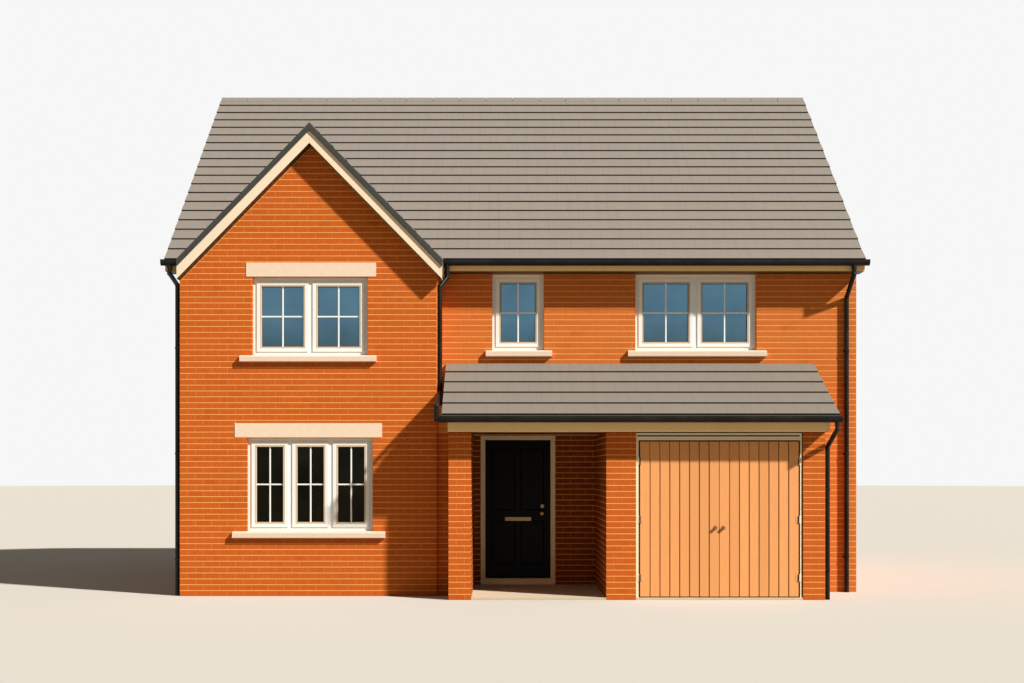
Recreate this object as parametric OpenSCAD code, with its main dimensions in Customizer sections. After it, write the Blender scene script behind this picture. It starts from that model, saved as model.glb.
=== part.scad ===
// Detached two-storey brick house with a front gable, an open porch and a garage under one lean-to roof.
// Millimetres, +Z up. The origin is on the ground, at the middle of the main block.

/* [Main block] */
// Width of the house over its side walls
house_w = 9734; // [9400:1:10200]
// Depth of the main block over its front and rear walls
house_d = 7380; // [7000:1:8200]
// Thickness of the outer walls
wall_t = 300; // [250:1:330]
// Top of the ground floor
floor_z = 110; // [90:1:115]
// Underside of the first floor, and of the porch ceiling
storey_z = 2300; // [2290:1:2310]
// Thickness of the first floor
storey_t = 200; // [150:1:220]
// Underside of the upper ceiling
ceiling_z = 4700; // [4660:1:4740]

/* [Main roof] */
// Pitch of the main roof in degrees
main_pitch = 40; // [39:0.1:41]
// Height of the two slopes where they meet
main_ridge_z = 8205; // [8150:1:8260]
// Overhang of the tiles past the front and rear walls
main_overhang = 370; // [350:1:390]
// Overhang of the left verge
verge_left = 290; // [200:1:320]
// Overhang of the right verge
verge_right = 40; // [35:1:120]
// Underside of the boxed eaves
soffit_z = 4640; // [4620:1:4645]
// Thickness of the roof slopes, rafters and tiles together
roof_t = 140; // [120:1:150]

/* [Front gable] */
// X of the gable's right corner
gable_right = -1237; // [-1260:1:-1225]
// Projection of the gable in front of the main wall
gable_d = 660; // [600:1:700]
// X of the gable's ridge
gable_ridge_x = -3009; // [-3030:1:-2990]
// Height where the gable's slopes meet
gable_ridge_z = 6632; // [6600:1:6700]
// Pitch of the gable roof in degrees
gable_pitch = 45.7; // [45:0.1:46.2]
// Overhang of the gable's verge in front of its wall
gable_verge_d = 200; // [110:1:220]

/* [Porch and garage] */
// Projection of the porch in front of the main wall
porch_d = 1250; // [1200:1:1300]
// Left and right faces of the left pier
left_pier = [-1047, -737];
// Left and right faces of the middle wall
middle_pier = [1117, 1523];
// Left and right faces of the garage's right wall
right_pier = [3815, 4117];
// Height of the lean-to roof where it meets the main wall
porch_top_z = 3334; // [3300:1:3380]
// Pitch of the lean-to roof in degrees
porch_pitch = 27.4; // [27:0.1:27.8]
// Left and right verges of the lean-to roof
porch_verge = [-1127, 4240];
// Depth of the recess behind the main wall's face, to the door wall
recess_d = 900; // [850:1:950]
// Top of the porch and garage floors
porch_floor_z = 30; // [25:1:40]

/* [Windows] */
// Width of the outer frame's members
frame_w = 55; // [50:1:60]
// Width of a casement's members
sash_w = 70; // [60:1:75]
// Width of a mullion
mullion_w = 60; // [50:1:70]
// Depth of the outer frame
frame_d = 70; // [60:1:80]
// Distance of the frame behind the wall's face
reveal_d = 70; // [60:1:90]
// Height of the sills
sill_h = 98; // [90:1:110]
// How far the sills stand out from the wall
sill_out = 75; // [40:1:85]

/* [Doors] */
// Left and right edges of the front door's frame
door_x = [-636, 504];
// Width of the front door frame's visible members
door_member = 70; // [66:1:74]
// Thickness of the front door
leaf_t = 44; // [40:1:48]
// Clearance round every door leaf
leaf_gap = 5; // [5:1:6]
// Width of the garage frame's members
garage_member = 55; // [50:1:60]
// Number of boards on each garage leaf
boards = 8; // [6:1:10]
// Height of the garage frame's head
garage_head = 120; // [100:1:130]

/* [Rainwater] */
// Width of the gutters
gutter_w = 112; // [108:1:116]
// Depth of the gutters
gutter_h = 85; // [80:1:90]
// Outer diameter of the downpipes
pipe_d = 65; // [55:1:68]
// Thickness of gutter and pipe walls
pipe_t = 4; // [3:1:5]

/* [Hidden] */
$fn = 48;

brick = "chocolate";
cream = "antiquewhite";
tile = "slategray";
black = "black";

// The walls' faces
half_w = house_w / 2;
half_d = house_d / 2;
in_w = half_w - wall_t;
in_d = half_d - wall_t;
gable_y = -half_d - gable_d;
porch_y = -half_d - porch_d;
door_y = -half_d + recess_d;
first_top = storey_z + storey_t;
garage_back_y = 300;
nib_y = gable_y + 50;
nib_z = 2700;

// The main roof's planes
main_tan = tan(main_pitch);
main_v = roof_t / cos(main_pitch);
eave_y = half_d + main_overhang;
fascia_t = 20;
fascia_face = half_d + 325;
fascia_back = fascia_face - fascia_t;
soffit_t = 12;
tile_v = 30;
roof_x = [-half_w - verge_left, half_w + verge_right];
ridge_reach = 120;
ridge_cap = 25;

// The joint between a slope and what stands under it, and between two boards
bed = 1;

// The gable roof's planes
gable_tan = tan(gable_pitch);
gable_v = roof_t / cos(gable_pitch);
gable_half = gable_ridge_x + half_w;
barge_t = 25;
barge_v = 188;
barge_under = 20;
lining_v = 17;
verge_v = 84;
gable_front = gable_y - gable_verge_d;
verge_lip = 12;
verge_cap = 8;
verge_flange = 80;

// The lean-to roof's planes
porch_tan = tan(porch_pitch);
porch_v = 110 / cos(porch_pitch);
porch_fascia_face = porch_y - 275;
porch_fascia_back = porch_fascia_face + fascia_t;
porch_eave = porch_y - 320;
porch_soffit_t = 11;

// The windows as [left, right, bottom, top, casements]
lower_left = [-3918, -2140, 916, 2234, 3];
upper_left = [-3844, -2210, 3404, 4508, 2];
small = [-455, 304, 3532, 4640, 1];
upper_right = [1638, 3410, 3532, 4640, 2];
rear_lower = [[-4000, -2222, 916, 2234, 3], [1500, 3278, 916, 2234, 3]];
rear_upper = [[-4000, -2228, 3532, 4640, 2], [1506, 3278, 3532, 4640, 2]];

// Their lintels as [left, right, bottom, top] and their sills as [left, right, top]
lower_lintel = [-4089, -2007, 2242, 2442];
upper_lintel = [-3928, -2092, 4515, 4708];
lower_sill = [-4116, -1962, lower_left[2]];
upper_sill = [-4013, -2088, upper_left[2]];
small_sill = [-548, 419, small[2]];
right_sill = [1527, 3551, upper_right[2]];
lintel_spread = 150;
lintel_h = 200;
sill_spread = 110;
lintel_out = 8;
stone_in = 100;

// The front door
stop_w = 15;
frame_y = door_y + 30;
frame_back = door_y + 150;
leaf_y = frame_back - leaf_t;
leaf_x = [door_x[0] + door_member - stop_w + leaf_gap, door_x[1] - door_member + stop_w - leaf_gap];
leaf_z = [127, 2245];
sill_z = 120;
head_z = 2240;
stile = 125;
muntin = 110;
panel_w = (leaf_x[1] - leaf_x[0] - 2 * stile - muntin) / 2;
panel_rows = [[350, 980], [1180, 2090]];

// The hinges: the height of each, its knuckles, and its plates
hinge_h = 100;
knuckle_r = 7;
knuckles = [[0, 32], [33, 67], [68, 100]];
plate_t = 3;
plate_x = [9.5, 38];
pin_out = 8;
door_pin = [leaf_x[0] - leaf_gap / 2, frame_back + pin_out];
door_hinge_z = [300, 1130, 1960];

// The garage door
garage_x = [middle_pier[1], right_pier[0]];
garage_in = [garage_x[0] + garage_member, garage_x[1] - garage_member];
garage_mid = (garage_x[0] + garage_x[1]) / 2;
garage_face = porch_y + 15;
garage_frame_t = 90;
garage_leaf_z = [porch_floor_z + 15, storey_z - garage_head - leaf_gap - 5];
garage_hinge_z = [250, 1050, 1850];
meeting_gap = 8;
groove = 9;

// The gutters
gutter_top = 4795;
porch_gutter_top = 2505;
pipe_r = pipe_d / 2;
spigot_h = 40;
clip_gap = 14;
clip_h = 25;
clip_w = 90;
elbow_r = pipe_r + 4;
clip_r = pipe_r + 5;
wall_pipe = pipe_r + clip_gap;
outlet_x = gable_right + 137;
right_outlet_x = 4739;
left_outlet_x = -5080;
porch_outlet_x = 4205;
rear_outlets = [-4600, 4600];
gutter_y = -fascia_face - gutter_w / 2;
porch_gutter_y = porch_fascia_face - gutter_w / 2;
spigot_z = gutter_top - gutter_h - spigot_h;
porch_spigot_z = porch_gutter_top - gutter_h - spigot_h;

// Height of the main roof's slopes at a distance from the ridge
function main_top(y) = main_ridge_z - main_tan * abs(y);
// Height of the gable roof's slopes at X
function gable_top(x) = gable_ridge_z - gable_tan * abs(x - gable_ridge_x);
// Height of the lean-to roof at Y
function porch_top(y) = porch_top_z + porch_tan * (y + half_d);
// Height of what stands under each of the three
function main_under(y) = main_top(y) - main_v - bed;
function gable_under(x) = gable_top(x) - gable_v - bed;
function porch_under(y) = porch_top(y) - porch_v - bed;

// A box between two corners
module box(low, high) {
    translate(low) cube(high - low);
}

// An outline in Y and Z, drawn out along X
module along_x(x0, x1, outline) {
    translate([x0, 0, 0]) rotate([90, 0, 90]) linear_extrude(x1 - x0) polygon(outline);
}

// An outline in X and Z, drawn out along Y
module along_y(y0, y1, outline) {
    translate([0, y1, 0]) rotate([90, 0, 0]) linear_extrude(y1 - y0) polygon(outline);
}

// An outline in X and Y, drawn up along Z
module up_z(z0, z1, outline) {
    translate([0, 0, z0]) linear_extrude(z1 - z0) polygon(outline);
}

// The hole for a window through a wall that lies between y0 and y1
module window_hole(w, y0, y1) {
    box([w[0], y0 - 1, w[2]], [w[1], y1 + 1, w[3]]);
}

// Chevron between two heights below the gable roof's top, over half a width
module chevron(half, below_top, below_bottom, y0, y1) {
    left = gable_ridge_x - half;
    right = gable_ridge_x + half;
    drop = gable_tan * half;
    along_y(y0, y1, [
        [left, gable_ridge_z - drop - below_bottom], [gable_ridge_x, gable_ridge_z - below_bottom],
        [right, gable_ridge_z - drop - below_bottom], [right, gable_ridge_z - drop - below_top],
        [gable_ridge_x, gable_ridge_z - below_top], [left, gable_ridge_z - drop - below_top]
    ]);
}

// Floors

module ground_floor() {
    color("gray") up_z(0, floor_z, [
        [-in_w, gable_y + wall_t], [gable_right - wall_t, gable_y + wall_t],
        [gable_right - wall_t, -in_d], [left_pier[0], -in_d], [left_pier[0], door_y + wall_t],
        [door_x[0], door_y + wall_t], [door_x[0], frame_back], [door_x[1], frame_back],
        [door_x[1], door_y + wall_t], [middle_pier[1], door_y + wall_t],
        [middle_pier[1], garage_back_y], [in_w, garage_back_y],
        [in_w, in_d], [-in_w, in_d]
    ]);
}

module garage_floor() {
    color("gray") up_z(0, porch_floor_z, [
        [garage_x[0], porch_y], [garage_x[1], porch_y], [garage_x[1], -half_d],
        [right_pier[1], -half_d], [right_pier[1], -in_d], [in_w, -in_d], [in_w, garage_back_y],
        [garage_x[0], garage_back_y]
    ]);
}

module porch_floor() {
    color("gray") up_z(0, porch_floor_z, [
        [left_pier[1], porch_y], [middle_pier[0], porch_y], [middle_pier[0], door_y],
        [door_x[1], door_y], [door_x[1], frame_back], [door_x[0], frame_back], [door_x[0], door_y],
        [left_pier[1], door_y]
    ]);
}

module first_floor() {
    color("gray") up_z(storey_z, first_top, [
        [-in_w, gable_y + wall_t], [gable_right - wall_t, gable_y + wall_t],
        [gable_right - wall_t, -in_d], [gable_right, -in_d], [gable_right, -half_d],
        [right_pier[1], -half_d], [right_pier[1], -in_d], [in_w, -in_d], [in_w, in_d], [-in_w, in_d]
    ]);
}

module upper_ceiling() {
    color("white") up_z(ceiling_z, ceiling_z + 100, [
        [-in_w, gable_y + wall_t], [gable_right - wall_t, gable_y + wall_t],
        [gable_right - wall_t, -in_d], [in_w, -in_d], [in_w, in_d], [-in_w, in_d]
    ]);
}

// Walls

// The places of a sill and of a lintel in the wall
module sill_pocket(s, face) {
    box([s[0], face - 1, s[2] - sill_h], [s[1], face + stone_in, s[2]]);
}

module lintel_pocket(l, face) {
    box([l[0], face - 1, l[2]], [l[1], face + stone_in, l[3]]);
}

// The stones of a rear window, as the window is seen from behind
function rear_sill(w) = [-w[1] - sill_spread, -w[0] + sill_spread, w[2]];
function rear_lintel(w) = [-w[1] - lintel_spread, -w[0] + lintel_spread, w[3], w[3] + lintel_h];

module gable_front_wall() {
    color(brick) difference() {
        along_y(gable_y, gable_y + wall_t, [
            [-half_w, 0], [gable_right, 0], [gable_right, gable_under(gable_right)],
            [gable_ridge_x, gable_under(gable_ridge_x)], [-half_w, gable_under(-half_w)]
        ]);
        window_hole(lower_left, gable_y, gable_y + wall_t);
        window_hole(upper_left, gable_y, gable_y + wall_t);
        sill_pocket(lower_sill, gable_y);
        sill_pocket(upper_sill, gable_y);
        lintel_pocket(lower_lintel, gable_y);
        lintel_pocket(upper_lintel, gable_y);
    }
}

module gable_return_wall() {
    x0 = gable_right - wall_t;
    color(brick) along_y(gable_y + wall_t, -in_d, [
        [x0, 0], [gable_right, 0], [gable_right, gable_under(gable_right)],
        [x0, gable_under(x0)]
    ]);
}

// A side wall's outline under both slopes of the main roof
function side_outline(front) = [
    [front, 0], [in_d, 0], [in_d, main_under(in_d)], [0, main_under(0)], [front, main_under(front)]
];

module left_side_wall() {
    color(brick) difference() {
        union() {
            along_x(-half_w, -in_w, side_outline(-half_d));
            along_y(gable_y + wall_t, -half_d, [
                [-half_w, 0], [-in_w, 0], [-in_w, gable_under(-in_w)], [-half_w, gable_under(-half_w)]
            ]);
        }
        gable_slopes();
    }
}

module right_side_wall() {
    color(brick) along_x(in_w, half_w, side_outline(-half_d));
}

module rear_wall() {
    color(brick) difference() {
        along_x(-half_w, half_w, [
            [in_d, 0], [half_d, 0], [half_d, main_under(half_d)], [in_d, main_under(in_d)]
        ]);
        for (w = concat(rear_lower, rear_upper)) {
            window_hole(w, in_d, half_d);
            rotate(180) sill_pocket(rear_sill(w), -half_d);
        }
        for (w = rear_lower)
            rotate(180) lintel_pocket(rear_lintel(w), -half_d);
    }
}

module main_front_wall() {
    color(brick) difference() {
        union() {
            along_x(gable_right, in_w, [
                [-half_d, first_top], [-in_d, first_top], [-in_d, main_under(in_d)],
                [-half_d, main_under(half_d)]
            ]);
            box([right_pier[1], -half_d, 0], [in_w, -in_d, first_top]);
        }
        window_hole(small, -half_d, -in_d);
        window_hole(upper_right, -half_d, -in_d);
        sill_pocket(small_sill, -half_d);
        sill_pocket(right_sill, -half_d);
    }
}

module porch_left_wall() {
    color(brick) union() {
        up_z(0, storey_z, [
            [left_pier[0], porch_y], [left_pier[1], porch_y], [left_pier[1], door_y + wall_t],
            [left_pier[0], door_y + wall_t], [left_pier[0], -in_d], [gable_right, -in_d],
            [gable_right, nib_y], [left_pier[0], nib_y]
        ]);
        lean_to_cheek(left_pier[0], left_pier[1]);
        box([gable_right, nib_y, storey_z], [left_pier[0], -half_d, nib_z]);
    }
}

// The wall under the end of the lean-to roof, above the ceiling
module lean_to_cheek(x0, x1) {
    along_x(x0, x1, [
        [porch_y, storey_z], [-half_d, storey_z], [-half_d, porch_under(-half_d)],
        [porch_y, porch_under(porch_y)]
    ]);
}

module porch_middle_wall() {
    color(brick) box([middle_pier[0], porch_y, 0], [middle_pier[1], door_y + wall_t, storey_z]);
}

module garage_right_wall() {
    color(brick) union() {
        box([right_pier[0], porch_y, 0], [right_pier[1], -half_d, storey_z]);
        lean_to_cheek(right_pier[0], right_pier[1]);
    }
}

module door_wall() {
    color(brick) {
        box([left_pier[1], door_y, 0], [door_x[0], door_y + wall_t, storey_z]);
        box([door_x[1], door_y, 0], [middle_pier[0], door_y + wall_t, storey_z]);
    }
}

module porch_beam() {
    back = porch_y + wall_t;
    color(brick) along_x(left_pier[1], right_pier[0], [
        [porch_y, storey_z], [back, storey_z], [back, porch_under(back)], [porch_y, porch_under(porch_y)]
    ]);
}

module porch_ceiling() {
    color(cream) box([left_pier[1], porch_y + wall_t, storey_z], [right_pier[0], -half_d, storey_z + 20]);
}

// Roofs

// One slope of the main roof, with its tiles running on over the gutter
module main_slope() {
    along_x(roof_x[0], roof_x[1], [
        [0, main_ridge_z], [-eave_y, main_top(eave_y)], [-eave_y, main_top(eave_y) - tile_v],
        [-fascia_back, main_top(fascia_back) - tile_v], [-fascia_back, main_top(fascia_back) - main_v],
        [0, main_ridge_z - main_v]
    ]);
}

// The room left at each verge for a barge board under the tiles
module verge_rebates() {
    for (x = [[roof_x[0] - 1, roof_x[0] + barge_t], [roof_x[1] - barge_t, roof_x[1] + 1]])
        along_x(x[0], x[1], [
            [0, main_ridge_z - tile_v], [-eave_y - 9, main_top(eave_y + 9) - tile_v],
            [-eave_y - 9, main_top(eave_y + 9) - 2 * main_v], [0, main_ridge_z - 2 * main_v]
        ]);
}

// Everything below the gable roof's top planes
module gable_attic_cut() {
    along_y(gable_front - 1, 0, [
        [-half_w, 4000], [gable_ridge_x + gable_half, 4000],
        [gable_ridge_x + gable_half, gable_top(gable_ridge_x + gable_half)],
        [gable_ridge_x, gable_ridge_z], [-half_w, gable_top(-half_w)]
    ]);
}

// The gable roof's slopes, from the verge back to the valleys
module gable_slopes() {
    intersection() {
        union() {
            chevron(gable_half, 0, verge_v, gable_front, 0);
            chevron(gable_half, verge_v, gable_v, gable_front + barge_t, 0);
        }
        along_x(-half_w - 1, 0, [
            [-half_d - 2000, main_top(half_d + 2000) - main_v], [0, main_ridge_z - main_v],
            [0, main_ridge_z], [-half_d - 2000, main_ridge_z]
        ]);
    }
}

module main_roof_front() {
    color(tile) difference() {
        main_slope();
        verge_rebates();
        gable_attic_cut();
    }
}

module main_roof_rear() {
    color(tile) mirror([0, 1, 0]) difference() {
        main_slope();
        verge_rebates();
    }
}

module gable_roof() {
    color(tile) gable_slopes();
}

module porch_roof() {
    back = porch_fascia_back;
    color(tile) along_x(porch_verge[0], porch_verge[1], [
        [-half_d, porch_top_z], [porch_eave, porch_top(porch_eave)],
        [porch_eave, porch_top(porch_eave) - tile_v], [back, porch_top(back) - tile_v],
        [back, porch_top(back) - porch_v], [-half_d, porch_top_z - porch_v]
    ]);
}

// Angled ridge tiles over the main ridge and the gable's ridge
module ridge_caps() {
    edge = main_top(ridge_reach);
    color(tile) {
        along_x(roof_x[0], roof_x[1], [
            [-ridge_reach, edge + bed], [0, main_ridge_z + bed], [ridge_reach, edge + bed],
            [ridge_reach, edge + ridge_cap], [0, main_ridge_z + ridge_cap], [-ridge_reach, edge + ridge_cap]
        ]);
        intersection() {
            chevron(ridge_reach, -ridge_cap, -bed, gable_front + verge_flange + bed, 0);
            along_x(-half_w, 0, [
                [gable_front, main_top(gable_front) + bed], [0, main_ridge_z + bed], [0, main_ridge_z + 99],
                [gable_front, main_ridge_z + 99]
            ]);
        }
    }
}

// A dark cap over the gable's verge: a lip down its face and a flange over the tiles, in two lengths
module verge_strips() {
    color("darkslategray") difference() {
        union() {
            chevron(gable_half, -verge_cap, verge_v, gable_front - verge_lip, gable_front);
            chevron(gable_half, -verge_cap, 0, gable_front, gable_front + verge_flange);
        }
        ridge_joint();
    }
}

// The joint between the two lengths of a strip or board at the gable's ridge
module ridge_joint() {
    box([gable_ridge_x - bed / 2, gable_front - 99, 0], [gable_ridge_x + bed / 2, gable_y + 99, main_ridge_z]);
}

// A board under each verge, and the lining behind the gable's
module barge_boards() {
    lining = verge_v + barge_v - lining_v;
    color(cream) {
        difference() {
            union() {
                chevron(gable_half, verge_v, verge_v + barge_v, gable_front, gable_front + barge_t);
                chevron(gable_half, lining, verge_v + barge_v, gable_front + barge_t + bed, gable_y);
            }
            ridge_joint();
        }
        for (end = [0, 1], x = [roof_x[0], roof_x[1] - barge_t])
            mirror([0, end, 0]) along_x(x, x + barge_t, [
                [-fascia_back, main_top(fascia_back) - tile_v - bed], [-bed / 2, main_ridge_z - tile_v - bed],
                [-bed / 2, main_under(0) - barge_under], [-fascia_back, main_under(fascia_back) - barge_under]
            ]);
    }
}

// Rainwater goods and eaves

// A fascia board in front of the rafters' ends
module fascia(x0, x1) {
    along_x(x0, x1, [
        [-fascia_face, soffit_z], [-fascia_back - bed, soffit_z],
        [-fascia_back - bed, main_top(fascia_back + bed) - tile_v - bed],
        [-fascia_face, main_top(fascia_face) - tile_v - bed]
    ]);
}

// The board under the rafters' ends, between the fascia and the wall
module soffit(x0, x1) {
    box([x0, -fascia_back, soffit_z], [x1, -half_d, soffit_z + soffit_t]);
}

// The board that closes the end of the boxed eaves, under the barge board
module eaves_end(x) {
    along_x(x, x + barge_t - bed, [
        [-fascia_back, soffit_z], [-half_d, soffit_z], [-half_d, main_under(half_d) - barge_under - bed],
        [-fascia_back, main_under(fascia_back) - barge_under - bed]
    ]);
}

module main_eaves() {
    color(cream) {
        difference() {
            union() {
                fascia(gable_right, roof_x[1]);
                soffit(gable_right, roof_x[1] - barge_t);
            }
            gable_slopes();
        }
        fascia(roof_x[0], -half_w);
        soffit(roof_x[0] + barge_t, -half_w);
        eaves_end(roof_x[0]);
        translate([bed, 0, 0]) eaves_end(roof_x[1] - barge_t);
    }
}

module rear_eaves() {
    color(cream) mirror([0, 1, 0]) {
        fascia(roof_x[0], roof_x[1]);
        soffit(roof_x[0] + barge_t, roof_x[1] - barge_t);
        eaves_end(roof_x[0]);
        translate([bed, 0, 0]) eaves_end(roof_x[1] - barge_t);
    }
}

// The lean-to's fascia, its soffit, and a board at each end
module porch_eaves() {
    back = porch_fascia_back;
    color(cream) {
        along_x(left_pier[0], right_pier[1], [
            [porch_fascia_face, storey_z], [back - bed, storey_z],
            [back - bed, porch_top(back) - tile_v - bed],
            [porch_fascia_face, porch_top(porch_fascia_face) - tile_v - bed]
        ]);
        box([left_pier[0], back, storey_z], [right_pier[1], porch_y, storey_z + porch_soffit_t]);
        for (x = [left_pier[0], right_pier[1] - fascia_t])
            along_x(x, x + fascia_t, [
                [back, storey_z + porch_soffit_t + bed], [porch_y, storey_z + porch_soffit_t + bed],
                [porch_y, porch_under(porch_y)], [back, porch_under(back)]
            ]);
    }
}

// The outline of a deep half-round channel below its rim
module channel(wide, deep) {
    r = wide / 2;
    union() {
        translate([0, -deep + r]) circle(r);
        translate([-r, -deep + r]) square([wide, deep - r]);
    }
}

// A gutter with stop ends, its back against a fascia's face, and a spigot under each outlet
module gutter(x0, x1, face, top, outlets) {
    y = face - gutter_w / 2;
    difference() {
        union() {
            trough(x0, x1, y, top, gutter_w, gutter_h);
            for (x = outlets)
                translate([x, y, top - gutter_h - spigot_h]) cylinder(h = spigot_h + 20, r = elbow_r);
        }
        trough(x0 + pipe_t, x1 - pipe_t, y, top, gutter_w - 2 * pipe_t, gutter_h - pipe_t);
        translate([x0 - 1, y - gutter_w, top]) cube([x1 - x0 + 2, 2 * gutter_w, gutter_w]);
        for (x = outlets)
            translate([x, y, top - gutter_h - spigot_h - 1]) cylinder(h = gutter_h, r = pipe_r - pipe_t);
    }
}

module trough(x0, x1, y, top, wide, deep) {
    translate([x0, y, top]) rotate([90, 0, 90]) linear_extrude(x1 - x0) channel(wide, deep);
}

// What the lowest tiles take out of a gutter's stop ends
module tile_edge_cut() {
    along_x(roof_x[0] - 99, roof_x[1] + 99, [
        [-fascia_face, main_top(fascia_face) - tile_v - bed], [-eave_y - bed, main_top(eave_y) - tile_v - 2 * bed],
        [-eave_y - bed, gutter_top + 9], [-fascia_face, gutter_top + 9]
    ]);
}

module main_gutter() {
    color(black) difference() {
        gutter(gable_ridge_x + gable_half, roof_x[1] + 50, -fascia_face, gutter_top, [outlet_x, right_outlet_x]);
        tile_edge_cut();
    }
}

module left_gutter() {
    color(black) difference() {
        gutter(roof_x[0] - 45, -half_w, -fascia_face, gutter_top, [left_outlet_x]);
        tile_edge_cut();
    }
}

module rear_gutter() {
    color(black) mirror([0, 1, 0])
        gutter(roof_x[0] - 20, roof_x[1] + 20, -fascia_face, gutter_top, rear_outlets);
}

module porch_gutter() {
    color(black)
        gutter(porch_verge[0] - 28, porch_verge[1] + 28, porch_fascia_face, porch_gutter_top, [porch_outlet_x]);
}

// A straight bar between two points
module bar(a, b, r) {
    d = b - a;
    translate(a) rotate([0, acos(d[2] / norm(d)), atan2(d[1], d[0])]) cylinder(h = norm(d), r = r);
}

// A downpipe along a list of points, with a swelling elbow at each corner
module downpipe(p) {
    for (i = [0 : len(p) - 2]) bar(p[i], p[i + 1], pipe_r);
    for (i = [1 : len(p) - 2]) translate(p[i]) sphere(elbow_r);
}

// A clip that holds a standing pipe off the main wall behind it
module back_clip(x, z) {
    translate([x, -half_d - wall_pipe, z]) cylinder(h = clip_h, r = clip_r);
    box([x - clip_w / 2, -half_d - clip_gap, z], [x + clip_w / 2, -half_d, z + clip_h]);
}

// A clip that holds a standing pipe off a wall beside it
module side_clip(x, y, z, wall_x) {
    translate([x, y, z]) cylinder(h = clip_h, r = clip_r);
    box([min(x, wall_x), y - clip_w / 2, z], [max(x, wall_x), y + clip_w / 2, z + clip_h]);
}

module left_downpipe() {
    x = -half_w - wall_pipe;
    y = gable_y + 60;
    color(black) union() {
        downpipe([
            [left_outlet_x, gutter_y, spigot_z], [left_outlet_x, gutter_y, 4600], [x, y, 4400], [x, y, 0]
        ]);
        for (z = [500, 2000, 3500]) side_clip(x, y, z, -half_w);
    }
}

module centre_downpipe() {
    x = gable_right + pipe_r + 6;
    y = -half_d - 460;
    end_z = porch_gutter_top - gutter_h / 2;
    color(black) union() {
        downpipe([
            [outlet_x, gutter_y, spigot_z], [outlet_x, gutter_y, 4540], [x, y, 4400], [x, y, 2900],
            [x, porch_gutter_y, 2640], [x, porch_gutter_y, end_z], [porch_verge[0] - 28, porch_gutter_y, end_z]
        ]);
        for (z = [3100, 4000]) box([gable_right, y - 30, z], [x, y + 30, z + clip_h]);
    }
}

module right_downpipe() {
    x = 4717;
    y = -half_d - wall_pipe;
    color(black) union() {
        downpipe([
            [right_outlet_x, gutter_y, spigot_z], [right_outlet_x, gutter_y, 4590], [x, y, 4300], [x, y, 0]
        ]);
        for (z = [500, 2000, 3500]) back_clip(x, z);
    }
}

module porch_downpipe() {
    x = right_pier[1] + wall_pipe;
    y = porch_y + 60;
    color(black) union() {
        downpipe([
            [porch_outlet_x, porch_gutter_y, porch_spigot_z], [porch_outlet_x, porch_gutter_y, 2330],
            [x, y, 2100], [x, y, 0]
        ]);
        for (z = [400, 1500]) side_clip(x, y, z, right_pier[1]);
    }
}

module rear_downpipes() {
    color(black) mirror([0, 1, 0]) for (x = rear_outlets) {
        downpipe([
            [x, gutter_y, spigot_z], [x, gutter_y, 4590],
            [x, -half_d - wall_pipe, 4300], [x, -half_d - wall_pipe, 0]
        ]);
        for (z = [500, 2000, 3500]) back_clip(x, z);
    }
}

// Stone dressings

module lintel(l, face) {
    box([l[0], face - lintel_out, l[2]], [l[1], face + stone_in, l[3]]);
}

// A weathered sill with a drip under its nose
module sill(s, face) {
    nose = face - sill_out;
    low = s[2] - sill_h;
    along_x(s[0], s[1], [
        [nose, low + 8], [nose + 8, low], [nose + 18, low], [nose + 23, low + 8], [nose + 28, low],
        [face + stone_in, low], [face + stone_in, s[2]], [face + 10, s[2]], [nose + 4, s[2] - 20],
        [nose, s[2] - 26]
    ]);
}

module window_lintels() {
    color(cream) {
        lintel(lower_lintel, gable_y);
        lintel(upper_lintel, gable_y);
        for (w = rear_lower)
            rotate(180) lintel(rear_lintel(w), -half_d);
    }
}

module window_sills() {
    color(cream) {
        sill(lower_sill, gable_y);
        sill(upper_sill, gable_y);
        sill(small_sill, -half_d);
        sill(right_sill, -half_d);
        for (w = concat(rear_lower, rear_upper)) rotate(180) sill(rear_sill(w), -half_d);
    }
}

// Windows

// Width of one casement in a window
function sash_span(w) = (w[1] - w[0] - 2 * frame_w - (w[4] - 1) * mullion_w) / w[4];
function sash_left(w, i) = w[0] + frame_w + i * (sash_span(w) + mullion_w);

// A window's outer frame with its mullions, and the casements, which stand a little proud
module window(w, face) {
    y0 = face + reveal_d;
    difference() {
        box([w[0], y0, w[2]], [w[1], y0 + frame_d, w[3]]);
        for (i = [0 : w[4] - 1])
            box([sash_left(w, i) + sash_w, y0 - 1, w[2] + frame_w + sash_w],
                [sash_left(w, i) + sash_span(w) - sash_w, y0 + frame_d + 1, w[3] - frame_w - sash_w]);
    }
    for (i = [0 : w[4] - 1])
        casement(sash_left(w, i), sash_left(w, i) + sash_span(w), w[2] + frame_w, w[3] - frame_w, y0);
}

// The face of one casement: a ring that stands proud of the frame, with a lower bead round its glass
module casement(x0, x1, z0, z1, y0) {
    proud = 14;
    step = 22;
    difference() {
        box([x0, y0 - proud, z0], [x1, y0, z1]);
        box([x0 + sash_w, y0 - proud - 1, z0 + sash_w], [x1 - sash_w, y0 + 1, z1 - sash_w]);
        box([x0 + sash_w - step, y0 - proud - 1, z0 + sash_w - step],
            [x1 - sash_w + step, y0 - proud + 6, z1 - sash_w + step]);
    }
}

// The glass of one window, a sheet in each casement
module glazing(w, face) {
    y = face + reveal_d + 20;
    for (i = [0 : w[4] - 1])
        box([sash_left(w, i) + sash_w, y, w[2] + frame_w + sash_w],
            [sash_left(w, i) + sash_span(w) - sash_w, y + 24, w[3] - frame_w - sash_w]);
}

module lower_left_window() {
    color("white") window(lower_left, gable_y);
}

module upper_left_window() {
    color("white") window(upper_left, gable_y);
}

module small_window() {
    color("white") window(small, -half_d);
}

module upper_right_window() {
    color("white") window(upper_right, -half_d);
}

// A window of the rear wall, seen from behind
function turned(w) = [-w[1], -w[0], w[2], w[3], w[4]];

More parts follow.
